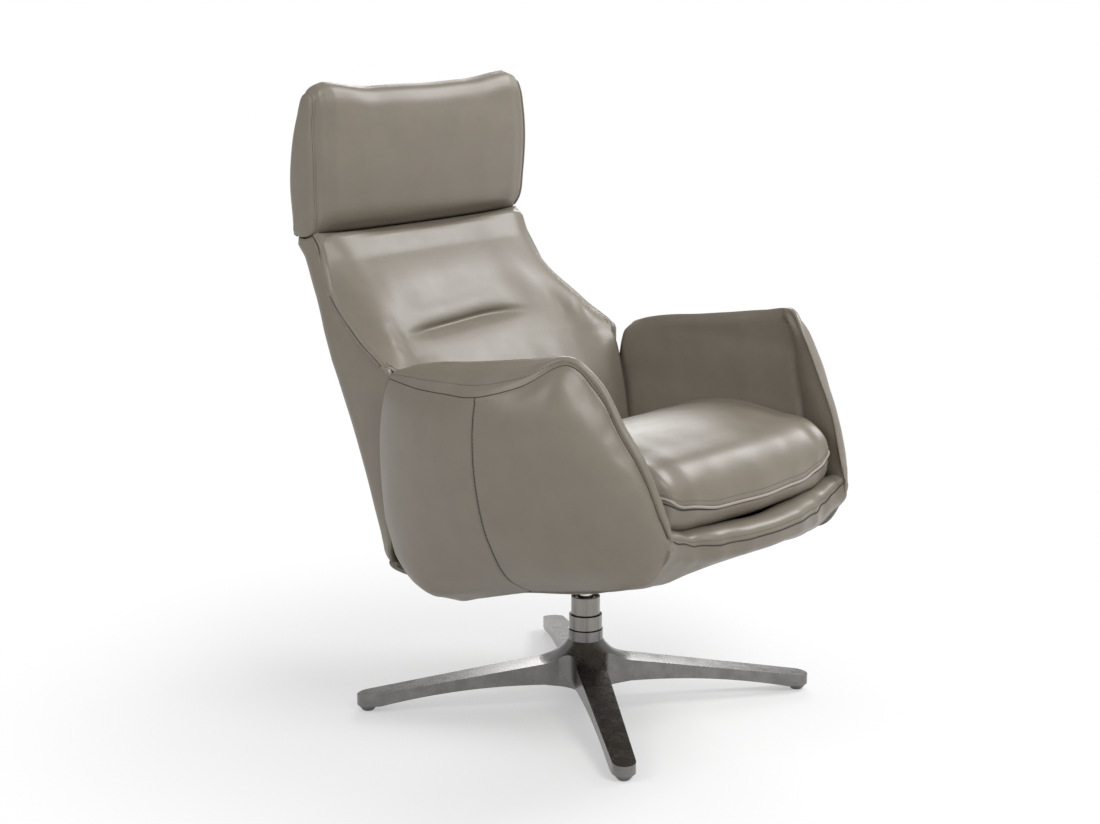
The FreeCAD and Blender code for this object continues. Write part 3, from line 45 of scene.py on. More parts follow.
def spread(knots, per):
    """Smooth points through knots along the first axis; every knot stays among them."""
    knots = np.asarray(knots, float)
    step = knots[1:] - knots[:-1]
    gaps = np.sqrt((step.reshape(len(step), -1, knots.shape[-1]) ** 2).sum(-1)).mean(1)
    gaps = np.maximum(gaps, 1e-6)
    slopes = np.empty_like(knots)
    slopes[0] = step[0] / gaps[0]
    slopes[-1] = step[-1] / gaps[-1]
    for i in range(1, len(knots) - 1):
        before = gaps[i - 1]
        after = gaps[i]
        slopes[i] = (step[i - 1] / before * after + step[i] / after * before) / (before + after)
    points = []
    for i in range(len(step)):
        for k in range(per):
            t = k / per
            rise = t * t * (3 - 2 * t)
            lead = t * (1 - t) * (1 - t) * gaps[i]
            trail = t * t * (t - 1) * gaps[i]
            place = knots[i] * (1 - rise) + knots[i + 1] * rise
            points.append(place + slopes[i] * lead + slopes[i + 1] * trail)
    points.append(knots[-1])
    return np.array(points)


def along(value, knots):
    """Straight-line look-up of a value in rising (place, value) knots."""
    return np.interp(value, [knot[0] for knot in knots], [knot[1] for knot in knots])


def eased(value, knots):
    """Look-up with soft steps between (place, value) knots."""
    places = [knot[0] for knot in knots]
    values = [knot[1] for knot in knots]
    if value <= places[0]:
        return values[0]
    for i in range(len(places) - 1):
        if value <= places[i + 1]:
            t = (value - places[i]) / (places[i + 1] - places[i])
            return values[i] + (values[i + 1] - values[i]) * t * t * (3 - 2 * t)
    return values[-1]


def lumps(grid, grain, seed):
    """Soft noise between -1 and 1 for every point; grain is the size of a lump."""
    flat = grid.reshape(-1, 3)
    shift = Vector((seed * 13.7, seed * 5.1, seed * 9.3))
    values = [noise.noise(Vector((p[0] / grain, p[1] / grain, p[2] / grain)) + shift) for p in flat]
    return np.array(values).reshape(grid.shape[:-1])


def outward(grid, around):
    """Unit normals of a grid, pointing away from its middle."""
    if around:
        across = np.roll(grid, -1, 1) - np.roll(grid, 1, 1)
    else:
        across = np.gradient(grid, axis=1)
    down = np.gradient(grid, axis=0)
    cross = np.cross(down, across)
    unit = cross / np.maximum(np.linalg.norm(cross, axis=-1, keepdims=True), 1e-9)
    if ((grid - grid.mean((0, 1))) * unit).sum() < 0:
        unit = -unit
    return unit


def pushed(grid, amount, around=False):
    return grid + outward(grid, around) * amount[..., None]


def near_column(grid, column):
    """Distance of every point from one column, measured along its row."""
    steps = np.linalg.norm(np.diff(grid, axis=1), axis=-1)
    run = np.concatenate([np.zeros((len(grid), 1)), np.cumsum(steps, axis=1)], axis=1)
    return np.abs(run - run[:, column:column + 1])


def dip(distance, width):
    return np.exp(-((distance / width) ** 2))


# Building meshes and curves

SEAM_DEPTH = 1.8
SEAM_WIDTH = 2.6
STITCH_LIFT = 0.3


def finished(piece, material, body):
    piece.data.materials.append(material)
    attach(piece, body)
    return piece


def mesh_piece(name, points, faces, material, body, closed=True):
    mesh = bpy.data.meshes.new(name)
    mesh.from_pydata([tuple(p * MM) for p in points], [], faces)
    form = bmesh.new()
    form.from_mesh(mesh)
    if closed:
        bmesh.ops.recalc_face_normals(form, faces=form.faces)
    form.to_mesh(mesh)
    form.free()
    for polygon in mesh.polygons:
        polygon.use_smooth = True
    piece = bpy.data.objects.new(name, mesh)
    bpy.context.scene.collection.objects.link(piece)
    return finished(piece, material, body)


def grid_faces(rows, columns, around):
    faces = []
    last = columns if around else columns - 1
    for i in range(rows - 1):
        for j in range(last):
            k = (j + 1) % columns
            here = i * columns
            below = here + columns
            faces.append((here + j, below + j, below + k, here + k))
    return faces


def tube_piece(name, grid, caps, material, body):
    """A closed piece of joined sections, its ends closed by soft caps of (scale, rise) rings."""
    rows, columns = grid.shape[:2]
    points = list(grid.reshape(-1, 3))
    faces = grid_faces(rows, columns, True)
    for row, step in ((0, grid[0] - grid[1]), (rows - 1, grid[-1] - grid[-2])):
        way = step.mean(0)
        way = way / np.linalg.norm(way)
        middle = grid[row].mean(0)
        previous = [row * columns + j for j in range(columns)]
        for scale, rise in caps:
            start = len(points)
            points += list(middle + (grid[row] - middle) * scale + way * rise)
            ring = [start + j for j in range(columns)]
            for j in range(columns):
                k = (j + 1) % columns
                faces.append((previous[j], previous[k], ring[k], ring[j]))
            previous = ring
        faces.append(tuple(previous))
    return mesh_piece(name, points, faces, material, body)


def sheet_piece(name, grid, material, body):
    rows, columns = grid.shape[:2]
    faces = grid_faces(rows, columns, False)
    return mesh_piece(name, grid.reshape(-1, 3), faces, material, body)


def cord_piece(name, line, radius, material, body, closed=False):
    """A round piping or seam along points, as a bevelled curve."""
    curve = bpy.data.curves.new(name, "CURVE")
    curve.dimensions = "3D"
    curve.bevel_depth = radius * MM
    curve.bevel_resolution = 3
    curve.use_fill_caps = True
    run = curve.splines.new("POLY")
    run.points.add(len(line) - 1)
    for point, place in zip(run.points, line):
        point.co = (place[0] * MM, place[1] * MM, place[2] * MM, 1)
    run.use_cyclic_u = closed
    piece = bpy.data.objects.new(name, curve)
    bpy.context.scene.collection.objects.link(piece)
    return finished(piece, material, body)


def evenly(line, pitch):
    """Places and directions at equal steps along a polyline."""
    line = np.asarray(line, float)
    lengths = np.concatenate([[0], np.cumsum(np.linalg.norm(np.diff(line, axis=0), axis=1))])
    count = max(int(lengths[-1] / pitch), 1)
    stops = (np.arange(count) + 0.5) * lengths[-1] / count
    places = np.stack([np.interp(stops, lengths, line[:, i]) for i in range(3)], axis=1)
    ahead = np.stack([np.interp(stops + 1, lengths, line[:, i]) for i in range(3)], axis=1)
    ways = ahead - places
    return places, ways / np.maximum(np.linalg.norm(ways, axis=1, keepdims=True), 1e-9)


def stitch_piece(name, lines, material, body, pitch=6.0, length=4.2, radius=0.55):
    """Rows of short thread stitches, all in one mesh."""
    points = []
    faces = []
    rings = ((-0.5, 0.3), (-0.36, 1.0), (0.36, 1.0), (0.5, 0.3))
    for line in lines:
        for place, way in zip(*evenly(line, pitch)):
            side = np.cross(way, (0.31, 0.2, 0.93))
            side = side / max(np.linalg.norm(side), 1e-9)
            up = np.cross(side, way)
            start = len(points)
            for share, wide in rings:
                for turn in range(6):
                    angle = turn * math.pi / 3
                    reach = (side * math.cos(angle) + up * math.sin(angle)) * radius * wide
                    points.append(place + way * share * length + reach)
            for ring in range(len(rings) - 1):
                for turn in range(6):
                    a = start + ring * 6 + turn
                    b = start + ring * 6 + (turn + 1) % 6
                    faces.append((a, b, b + 6, a + 6))
            faces.append(tuple(start + turn for turn in range(6)))
            faces.append(tuple(start + 18 + turn for turn in range(6)))
    return mesh_piece(name, points, faces, material, body)


def mirrored(grid):
    return grid * np.array((-1.0, 1.0, 1.0))


def raised(grid, row, column):
    """Points of a closed grid, just proud of its surface, for a row of stitches."""
    return grid[row, column] + outward(grid, True)[row, column] * STITCH_LIFT


def walled(piece, thickness):
    """Give an open sheet its thickness, inwards."""
    wall = piece.modifiers.new("wall", "SOLIDIFY")
    wall.thickness = thickness * MM
    wall.offset = -1


# Materials


def blank(name):
    material = bpy.data.materials.new(name)
    material.use_nodes = True
    nodes = material.node_tree.nodes
    return material, nodes, material.node_tree.links, nodes["Principled BSDF"]


def varied_colour(nodes, links, place, shader, dark, light, scale, low=0.35, high=0.65):
    cloud = nodes.new("ShaderNodeTexNoise")
    cloud.inputs["Scale"].default_value = scale
    cloud.inputs["Detail"].default_value = 5
    links.new(place, cloud.inputs["Vector"])
    ramp = nodes.new("ShaderNodeValToRGB")
    ramp.color_ramp.elements[0].position = low
    ramp.color_ramp.elements[0].color = (*dark, 1)
    ramp.color_ramp.elements[1].position = high
    ramp.color_ramp.elements[1].color = (*light, 1)
    links.new(cloud.outputs["Fac"], ramp.inputs["Fac"])
    links.new(ramp.outputs["Color"], shader.inputs["Base Color"])
    return cloud


def varied_roughness(nodes, links, source, shader, low, high):
    spread_out = nodes.new("ShaderNodeMapRange")
    spread_out.inputs["From Min"].default_value = 0.3
    spread_out.inputs["From Max"].default_value = 0.7
    spread_out.inputs["To Min"].default_value = low
    spread_out.inputs["To Max"].default_value = high
    links.new(source, spread_out.inputs["Value"])
    links.new(spread_out.outputs["Result"], shader.inputs["Roughness"])


def bump(nodes, links, height, shader, strength, distance, under=None):
    relief = nodes.new("ShaderNodeBump")
    relief.inputs["Strength"].default_value = strength
    relief.inputs["Distance"].default_value = distance
    links.new(height, relief.inputs["Height"])
    if under is not None:
        links.new(under.outputs["Normal"], relief.inputs["Normal"])
    links.new(relief.outputs["Normal"], shader.inputs["Normal"])
    return relief


def leather(name, colour, rough=0.41, crumple=0.12):
    material, nodes, links, shader = blank(name)
    place = nodes.new("ShaderNodeTexCoord").outputs["Object"]
    dark = [c * 0.965 for c in colour]
    light = [c * 1.035 for c in colour]
    cloud = varied_colour(nodes, links, place, shader, dark, light, 24)
    varied_roughness(nodes, links, cloud.outputs["Fac"], shader, rough - 0.03, rough + 0.03)
    pebbles = nodes.new("ShaderNodeTexVoronoi")
    pebbles.feature = "SMOOTH_F1"
    pebbles.inputs["Scale"].default_value = 620
    links.new(place, pebbles.inputs["Vector"])
    grain = bump(nodes, links, pebbles.outputs["Distance"], shader, 0.16, 0.0006)
    creases = nodes.new("ShaderNodeTexNoise")
    creases.inputs["Scale"].default_value = 38
    creases.inputs["Detail"].default_value = 4
    creases.inputs["Distortion"].default_value = 0.7
    links.new(place, creases.inputs["Vector"])
    bump(nodes, links, creases.outputs["Fac"], shader, crumple, 0.0022, grain)
    shader.inputs["Coat Weight"].default_value = 0.1
    shader.inputs["Coat Roughness"].default_value = 0.32
    shader.inputs["IOR"].default_value = 1.48
    return material


def metal(name, colour, rough, streak=1.0, wear=0.12):
    material, nodes, links, shader = blank(name)
    place = nodes.new("ShaderNodeTexCoord").outputs["Object"]
    stretch = nodes.new("ShaderNodeMapping")
    stretch.inputs["Scale"].default_value = (1, 1, streak)
    links.new(place, stretch.inputs["Vector"])
    dark = [c * (1 - wear) for c in colour]
    light = [min(c * (1 + wear), 1) for c in colour]
    cloud = varied_colour(nodes, links, stretch.outputs["Vector"], shader, dark, light, 45)
    varied_roughness(nodes, links, cloud.outputs["Fac"], shader, rough * 0.85, rough * 1.15)
    brush = nodes.new("ShaderNodeTexNoise")
    brush.inputs["Scale"].default_value = 520
    links.new(stretch.outputs["Vector"], brush.inputs["Vector"])
    bump(nodes, links, brush.outputs["Fac"], shader, 0.05, 0.0003)
    shader.inputs["Metallic"].default_value = 1.0
    return material


def plastic(name, colour, rough):
    material, nodes, links, shader = blank(name)
    place = nodes.new("ShaderNodeTexCoord").outputs["Object"]
    dark = [c * 0.9 for c in colour]
    light = [min(c * 1.1, 1) for c in colour]
    cloud = varied_colour(nodes, links, place, shader, dark, light, 60)
    varied_roughness(nodes, links, cloud.outputs["Fac"], shader, rough - 0.05, rough + 0.05)
    spark = nodes.new("ShaderNodeTexNoise")
    spark.inputs["Scale"].default_value = 900
    links.new(place, spark.inputs["Vector"])
    bump(nodes, links, spark.outputs["Fac"], shader, 0.12, 0.0003)
    return material


def webbing_cloth(name, colour):
    material, nodes, links, shader = blank(name)
    place = nodes.new("ShaderNodeTexCoord").outputs["Object"]
    dark = [c * 0.8 for c in colour]
    varied_colour(nodes, links, place, shader, dark, colour, 90)
    threads = nodes.new("ShaderNodeTexWave")
    threads.inputs["Scale"].default_value = 220
    links.new(place, threads.inputs["Vector"])
    bump(nodes, links, threads.outputs["Fac"], shader, 0.4, 0.0006)
    shader.inputs["Roughness"].default_value = 0.85
    return material


TAUPE = (0.2, 0.174, 0.138)
hide = leather("taupe_hide", TAUPE)
# A darker copy of the hide (0.92 of its colour) for the underside panel and apron: painted shade under the
# seat.
hide_painted_shade = leather("taupe_hide_painted_shade", [c * 0.92 for c in TAUPE], 0.4)
hide_pipe = leather("piping_hide", (0.33, 0.29, 0.25), 0.5, 0.1)
# Near-black cords laid along the seams are painted shade: the shadow in the seam grooves.
seam_shade = plastic("seam_shadow", (0.05, 0.044, 0.037), 0.8)
thread = plastic("tone_thread", (0.17, 0.15, 0.13), 0.6)

SLOT_LOOKS = {
    "taupe_leather": hide,
    "base_metal": metal("dark_nickel", (0.22, 0.212, 0.207), 0.27),
    "satin_column": metal("satin_grey", (0.27, 0.255, 0.238), 0.28, 0.15),
    "glide_plastic": plastic("glide_grey", (0.12, 0.12, 0.12), 0.5),
    "black_rubber": plastic("matt_black", (0.02, 0.02, 0.02), 0.6),
    "tube_steel": metal("drawn_tube", (0.4, 0.4, 0.4), 0.38, 0.2),
    "bush_plastic": plastic("natural_bush", (0.7, 0.68, 0.62), 0.4),
    "bright_steel": metal("bright_steel", (0.6, 0.6, 0.6), 0.2),
    "cage_brass": metal("cage_brass", (0.62, 0.48, 0.22), 0.3),
    "chromed_steel": metal("chromed_steel", (0.72, 0.72, 0.73), 0.1, 1.0, 0.04),
    "frame_steel": metal("frame_steel", (0.2, 0.2, 0.21), 0.42),
    "black_enamel": plastic("black_enamel", (0.03, 0.03, 0.032), 0.35),
    "webbing": webbing_cloth("deck_webbing", (0.12, 0.12, 0.12)),
}
NODE_SLOTS = {
    "base_metal": "star_base hub_cap",
    "satin_column": "column_tube column_sleeve trim_ring",
    "glide_plastic": "foot_glides",
    "black_rubber": "lower_seal_ring upper_seal_ring",
    "bush_plastic": "lower_bush upper_bush",
    "cage_brass": "bearing_cage",
    "chromed_steel": "swivel_spindle gas_spring_rod",
    "bright_steel": "lower_race upper_race bearing_balls retaining_washer retaining_clip plate_bolts"
    " recline_pins recline_washers spring_anchor_pin spring_lever_pin headrest_pins",
    "black_enamel": "gas_spring_cylinder",
    "webbing": "deck_straps",
}
LOOK_OF_NODE = {node: slot for slot, names in NODE_SLOTS.items() for node in names.split()}
for node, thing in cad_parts.items():
    look = SLOT_LOOKS[LOOK_OF_NODE.get(node, "frame_steel")]
    if not thing.material_slots:
        thing.data.materials.append(look)
    for holder in thing.material_slots:
        holder.material = look

# Arms

ARM_ROWS = (
    # Y; outside; corner sharpness; underside height; seam X and Z; ridge X and Z; foot of the inner face
    (-354, 238, 0.6, 371, 233, 391, 226.5, 396, 372),
    (-345, 250, 0.6, 351, 238, 414, 228, 421, 356),
    (-315, 277, 0.6, 312, 251, 489, 241, 499, 359),
    (-283, 300, 0.62, 300, 261, 541, 250, 553, 362),
    (-246, 322, 0.64, 289, 269, 602, 258, 614, 364),
    (-208, 340, 0.64, 280, 291, 640, 276, 648, 360),
    (-150, 358, 0.64, 268, 334, 606, 284, 642, 352),
    (-85, 366, 0.62, 256, 358, 586, 285, 631, 342),
    (-15, 364, 0.5, 240, 354, 581, 285, 621, 332),
    (60, 354, 0.34, 223, 341, 578, 285, 611, 322),
    (120, 337, 0.24, 211, 322, 577, 286, 600, 322),
    (163, 318, 0.22, 218, 306, 576, 292, 587, 330),
)
ARM_FRONT = -354
ARM_REAR = 163
SIDE_SEAM_Y = -85
HALF_PAN = 232
WIDEST_PART = 0.8
CREST_RISE = 3.5
BAND_PUFF = 6
SHOULDER = 18.0
OUTER_STEPS = 7
TOP_STEPS = 6
INNER_STEPS = 33
SEAM_COLUMN = 6 * OUTER_STEPS
RIDGE_COLUMN = SEAM_COLUMN + 2 * TOP_STEPS
REAR_ROUND = 14
CREASE_Y = ((393, -275), (436, -260), (533, -227), (614, -205), (640, -190))
CREST_Y = ((396, -358), (444, -342), (495, -318), (545, -288), (612, -240), (640, -212), (650, -196))
CREST_X = ((396, 226), (444, 234), (495, 241), (545, 253), (612, 262), (640, 272), (650, 280))
FACE_X = ((400, 248), (500, 268), (590, 279))
REAR_EDGE_Y = (
    (214, 104), (240, 112), (267, 127), (295, 145), (346, 158),
    (411, 162), (492, 161), (550, 156), (576, 151), (589, 142),
)


def inner_face(y, z):
    face = along(z, FACE_X)
    start = along(z, CREASE_Y)
    if y >= start:
        return face
    share = min((start - y) / max(start - along(z, CREST_Y), 1), 1)
    return face + (along(z, CREST_X) - face) * share - BAND_PUFF * math.sin(math.pi * share)


def arm_section(row):
    y, outside, sharp, under, seam_x, seam_z, ridge_x, ridge_z, foot = row
    outer = []
    for part in (0, 0.1, 0.3, 0.55, WIDEST_PART, 0.92, 1):
        share = min(part / WIDEST_PART, 1)
        x = HALF_PAN + (outside - HALF_PAN) * (1 - (1 - share) ** 2) ** sharp
        if part > WIDEST_PART:
            turn = (part - WIDEST_PART) / (1 - WIDEST_PART)
            x = outside + (seam_x - outside) * turn * turn
        outer.append((x, under + (seam_z - under) * part))
    outer = spread(outer, OUTER_STEPS)
    wide = seam_x - ridge_x
    top = (ridge_x + wide * 0.55 + 1, seam_z + (ridge_z - seam_z) * 0.55 + CREST_RISE)
    crescent = spread([(seam_x, seam_z), top, (ridge_x, ridge_z)], TOP_STEPS)[1:]
    inner = []
    depth = min(SHOULDER, 0.4 * (ridge_z - foot))
    for k in range(1, INNER_STEPS + 1):
        z = ridge_z + (foot - ridge_z) * (k / INNER_STEPS) ** 1.25
        x = inner_face(y, z)
        turn = min((ridge_z - z) / depth, 1)
        inner.append((ridge_x + (x - ridge_x) * math.sin(turn * math.pi / 2), z))
    inner = np.array(inner)
    floor = np.array([inner[-1] * (1 - t) + np.array((HALF_PAN, under)) * t for t in (0.35, 0.7)])
    section = np.concatenate([outer, crescent, inner, floor])
    return np.stack([section[:, 0], np.full(len(section), y), section[:, 1]], axis=1)


arm_table = spread(ARM_ROWS, 30)
coarse = np.arange(ARM_FRONT, ARM_REAR, 4.0)
fine = np.arange(SIDE_SEAM_Y - 8, SIDE_SEAM_Y + 8, 1.3)
last = [SIDE_SEAM_Y, ARM_REAR - 11, ARM_REAR - 6, ARM_REAR - 3, ARM_REAR]
arm_places = np.unique(np.round(np.concatenate([coarse, fine, last]), 2))
arm_rows = [[np.interp(y, arm_table[:, 0], arm_table[:, i]) for i in range(9)] for y in arm_places]
arm_grid = np.array([arm_section(row) for row in arm_rows])
reach = (arm_places - SIDE_SEAM_Y) / (ARM_REAR - SIDE_SEAM_Y)
for i, share in enumerate(reach):
    if share > 0:
        arm_grid[i, :, 1] = SIDE_SEAM_Y + share * (along(arm_grid[i, :, 2], REAR_EDGE_Y) - SIDE_SEAM_Y)
from_seam = near_column(arm_grid, SEAM_COLUMN)
on_outer = np.zeros(arm_grid.shape[:2])
on_outer[:, :SEAM_COLUMN] = 1
on_crescent = np.zeros(arm_grid.shape[:2])
on_crescent[:, SEAM_COLUMN:RIDGE_COLUMN + 1] = 1
fade = np.ones(arm_grid.shape[:2])
fade[:, RIDGE_COLUMN + INNER_STEPS + 1:] = 0
front_share = np.clip((-arm_grid[..., 1] - 120) / 120, 0, 1)
amount = -SEAM_DEPTH * dip(from_seam, SEAM_WIDTH)
amount += 1.6 * dip(from_seam - 15, 9) * on_crescent
amount += (0.5 + 1.3 * front_share) * lumps(arm_grid, 19, 3) * dip(from_seam, 30)
amount += 1.1 * lumps(arm_grid, 62, 5)
amount -= 1.7 * dip(arm_places - SIDE_SEAM_Y, 2.4)[:, None] * on_outer * np.clip((from_seam - 4) / 8, 0, 1)
crease_gap = np.abs(arm_grid[..., 1] - along(arm_grid[..., 2], CREASE_Y))
on_inner = np.zeros(arm_grid.shape[:2])
on_inner[:, RIDGE_COLUMN + 4:RIDGE_COLUMN + INNER_STEPS + 1] = 1
amount -= 3.2 * dip(crease_gap, 6) * on_inner
round_over = np.clip((arm_grid[..., 1] - (arm_grid[-1, :, 1] - REAR_ROUND)[None, :]) / REAR_ROUND, 0, 1)
amount -= 8 * (1 - np.sqrt(np.maximum(1 - round_over ** 2, 0)))
arm_grid = pushed(arm_grid, amount * fade, True)

seam_line = arm_grid[:, SEAM_COLUMN]
stitch_line = raised(arm_grid, slice(None), SEAM_COLUMN + 3)
side_row = int(np.argmin(np.abs(arm_places - SIDE_SEAM_Y)))
side_line = arm_grid[side_row, 0:SEAM_COLUMN + 1]
side_stitch = raised(arm_grid, side_row - 4, slice(0, SEAM_COLUMN - 1))
ARM_CAPS = ((0.97, 1.5), (0.85, 3), (0.5, 4))
for side, turned in (("left", lambda grid: grid), ("right", mirrored)):
    arm = tube_piece(f"arm_{side}", turned(arm_grid), ARM_CAPS, hide, "seat")
    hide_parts(f"arm_shell_{side}", f"arm_pad_{side}")
    # Dark cords along the arm seams: painted shade in the seam grooves.
    cord_piece(f"arm_seam_{side}", turned(seam_line), 0.8, seam_shade, "seat")
    cord_piece(f"arm_side_seam_{side}", turned(side_line), 0.75, seam_shade, "seat")
    lines = [turned(stitch_line), turned(side_stitch)]
    stitch_piece(f"arm_stitches_{side}", lines, thread, "seat")

# Underside panel with the apron, and the padded lip

BOW = ((0, 0), (60, 3), (120, 15), (168, 31), (214, 36), (232, 33))
RISE = ((0, 0), (120, 1), (168, 5), (200, 15), (232, 27))
PAN_WALL = 7
PAN_HOLE = 50
PAN_MIDDLE = (
    (-387, 361), (-385, 345), (-352, 326), (-295, 302), (-220, 281), (-60, 250),
    (40, 226), (92, 212), (120, 207), (143, 210), (160, 217),
)
PAN_SIDE = (
    (-354, 388), (-356, 366), (-338, 341), (-313, 316), (-235, 286), (-60, 250),
    (40, 228), (92, 213), (120, 208), (143, 211), (160, 217),
)


def pan_section(x):
    drawn = eased(abs(x), BOW) / BOW[-1][1]
    lifted = eased(abs(x), RISE) / RISE[-1][1]
    points = []
    for (y, z), (side_y, side_z) in zip(PAN_MIDDLE, PAN_SIDE):
        points.append((y + (side_y - y) * drawn, z + (side_z - z) * lifted))
    line = spread(points, 8)
    normal = np.stack([-np.gradient(line[:, 1]), np.gradient(line[:, 0])], axis=1)
    normal = normal / np.linalg.norm(normal, axis=1, keepdims=True)
    inner = line + normal * PAN_WALL
    loop = np.concatenate([line, inner[::-1]])
    return np.stack([np.full(len(loop), x), loop[:, 0], loop[:, 1]], axis=1)


pan_places = np.linspace(-HALF_PAN, HALF_PAN, 77)
pan_grid = np.array([pan_section(x) for x in pan_places])
pan_grid = pushed(pan_grid, 0.7 * lumps(pan_grid, 55, 2) * (pan_grid[..., 1] < 0), True)
# The underside and apron wear the darker copy of the hide: painted shade.
pan = tube_piece("seat_underside", pan_grid, ((1, 0.2),), hide_painted_shade, "seat")
form = bmesh.new()
form.from_mesh(pan.data)
hole = [face for face in form.faces if face.calc_center_median().xy.length < PAN_HOLE * MM]
bmesh.ops.delete(form, geom=hole, context="FACES")
form.to_mesh(pan.data)
form.free()
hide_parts("tub_pan")

LIP_HALF = 230
LIP_CROWN = 7.5
LIP_INNER_Y = ((0, -333), (100, -322), (168, -304), (214, -310), (232, -318))
LIP_INNER_Z = ((0, 374), (168, 378), (214, 388), (232, 392))


def lip_section(x):
    wide = abs(x)
    seam = (PAN_MIDDLE[0][0] + eased(wide, BOW), PAN_MIDDLE[0][1] + eased(wide, RISE))
    inner = (eased(wide, LIP_INNER_Y), eased(wide, LIP_INNER_Z))
    peak = ((seam[0] + inner[0]) / 2 - 3, max(seam[1], inner[1]) + LIP_CROWN)
    near = (seam[0] - 1 + (peak[0] - seam[0]) * 0.3, seam[1] + (peak[1] - seam[1]) * 0.66)
    top = spread([seam, near, peak, inner, (inner[0] + 7, inner[1] - 12)], 6)
    under = [(inner[0], inner[1] - 18), ((seam[0] + inner[0]) / 2, seam[1] - 6), (seam[0] + 6, seam[1] - 6)]
    loop = np.concatenate([top, under])
    return np.stack([np.full(len(loop), x), loop[:, 0], loop[:, 1]], axis=1)


lip_places = np.linspace(-LIP_HALF, LIP_HALF, 93)
lip_grid = np.array([lip_section(x) for x in lip_places])
lip_gap = near_column(lip_grid, 0)
puckers = 0.5 * lumps(lip_grid * (1, 0.3, 0.3), 22, 8) * dip(lip_gap - 14, 16)
lip_grid = pushed(lip_grid, puckers - 1.2 * dip(lip_gap, 3) + 0.4 * lumps(lip_grid, 60, 9), True)
lip = tube_piece("seat_front_lip", lip_grid, ((0.96, 1.0), (0.7, 2.5)), hide, "seat")
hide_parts("front_lip")
# Dark cord along the lip's seam: painted shade in the groove.
cord_piece("lip_seam", lip_grid[:, 0] + (0, -0.3, -0.6), 1.2, seam_shade, "seat")
stitch_piece("lip_stitches", [raised(lip_grid, slice(None), 3)], thread, "seat")

# Seat cushion

CUSHION_HALF = 238
CUSHION_FRONT = -363
CUSHION_REAR = 86
CROWN = 508
PIPE_HEIGHT = 414
DECK_HEIGHT = 308
DECK_PLACE = 90
DECK_SLOPE = 8.8
STRAP_ROOM = 3


def deck_top(y):
    """Height of the top of the elastic straps."""
    return DECK_HEIGHT + (DECK_PLACE - y) * math.tan(math.radians(DECK_SLOPE)) + STRAP_ROOM


def cushion_section(x):
    share = abs(x) / CUSHION_HALF
    draw = eased(share, ((0, 0), (0.35, 6), (0.65, 13), (0.85, 24), (0.95, 44), (1, 80)))
    pipe_rise = eased(share, ((0, 0), (0.45, 1), (0.75, 12), (0.95, 32), (1, 52)))
    drop = eased(share, ((0, 0), (0.6, 3), (0.88, 8), (0.96, 17), (1, 36)))
    lift = eased(share, ((0, 0), (0.9, 0), (0.96, 6), (1, 20)))
    rear_in = eased(share, ((0, 0), (0.85, 0), (0.95, 10), (1, 30)))
    front = CUSHION_FRONT + draw
    rear = CUSHION_REAR - rear_in
    top = CROWN - drop
    pipe = (front, PIPE_HEIGHT + pipe_rise)
    foot = (front + 40, deck_top(front + 40) + lift)
    boxing = spread([foot, (front + 9, deck_top(front) + 14 + lift + pipe_rise * 0.3), pipe], 7)
    crown = spread(
        [
            pipe,
            (front + 6, pipe[1] + (top - pipe[1]) * 0.32),
            (front + 34, pipe[1] + (top - pipe[1]) * 0.72),
            (front + 95, top - 8),
            (front + 190, top),
            (front + 300, top - 22),
            (rear - 26, top - 68),
        ],
        8,
    )[1:]
    heel = (rear - 30, deck_top(rear - 30) + lift)
    tail = spread([(rear - 26, top - 68), (rear, 406 - drop * 0.5), (rear - 6, 356 + lift), heel], 4)[1:]
    base = spread([heel, foot], 12)[1:-1]
    loop = np.concatenate([boxing, crown, tail, base])
    return np.stack([np.full(len(loop), x), loop[:, 0], loop[:, 1]], axis=1)


PIPE_COLUMN = 14
CUSHION_CAPS = ((0.99, 1.2), (0.94, 3), (0.8, 4.5))
turns = np.linspace(-1, 1, 87)
cushion_places = CUSHION_HALF * np.sign(turns) * (1 - (1 - np.abs(turns)) ** 1.25)
cushion_grid = np.array([cushion_section(x) for x in cushion_places])
free = np.ones(cushion_grid.shape[:2])
free[:, -16:] = 0
from_pipe = near_column(cushion_grid, PIPE_COLUMN)
amount = -2.4 * dip(from_pipe, 4)
fine_folds = 0.35 * lumps(cushion_grid * (1, 0.4, 0.4), 26, 12) * dip(from_pipe, 30)
amount += 0.4 * lumps(cushion_grid, 90, 11) + fine_folds
cushion_grid = pushed(cushion_grid, amount * free, True)
cushion = tube_piece("seat_cushion_soft", cushion_grid, CUSHION_CAPS, hide, "seat")
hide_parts("seat_cushion")
pipe_line = cushion_grid[2:-2, PIPE_COLUMN] + (0, -1.2, 0)
cord_piece("cushion_piping", pipe_line, 2.3, hide_pipe, "seat")
under_pipe = cushion_grid[2:-2, PIPE_COLUMN - 1] + (0, 0.2, 0)
# Dark cord just under the piping: painted shade beneath it.
cord_piece("cushion_pipe_seam", under_pipe, 1.2, seam_shade, "seat")
row = raised(cushion_grid, slice(3, -3), PIPE_COLUMN + 3)
stitch_piece("cushion_stitches", [row], thread, "seat")

# Back: rear shell and front pad

PIVOT = (120, 300)
TILT = (405, 815)
TILT_ROOM = 49.5
TILT_START = 735.0
BACK_TOP = 783
BACK_SWEEP = 78
SHELL_BULGE = 5
REAR_LINE = ((172, 243), (203, 312), (245, 430), (302, 566), (370, 683), (424, 766), (424, 800))
WELT_LINE = ((168, 300), (168, 579), (202, 599), (252, 627), (317, 676), (350, 741), (371, 778), (371, 800))
HALF_LINE = ((200, 284), (579, 284), (627, 275.5), (676, 261.5), (741, 248.5), (781, 245))


def back_half(z):
    return along(z, HALF_LINE)


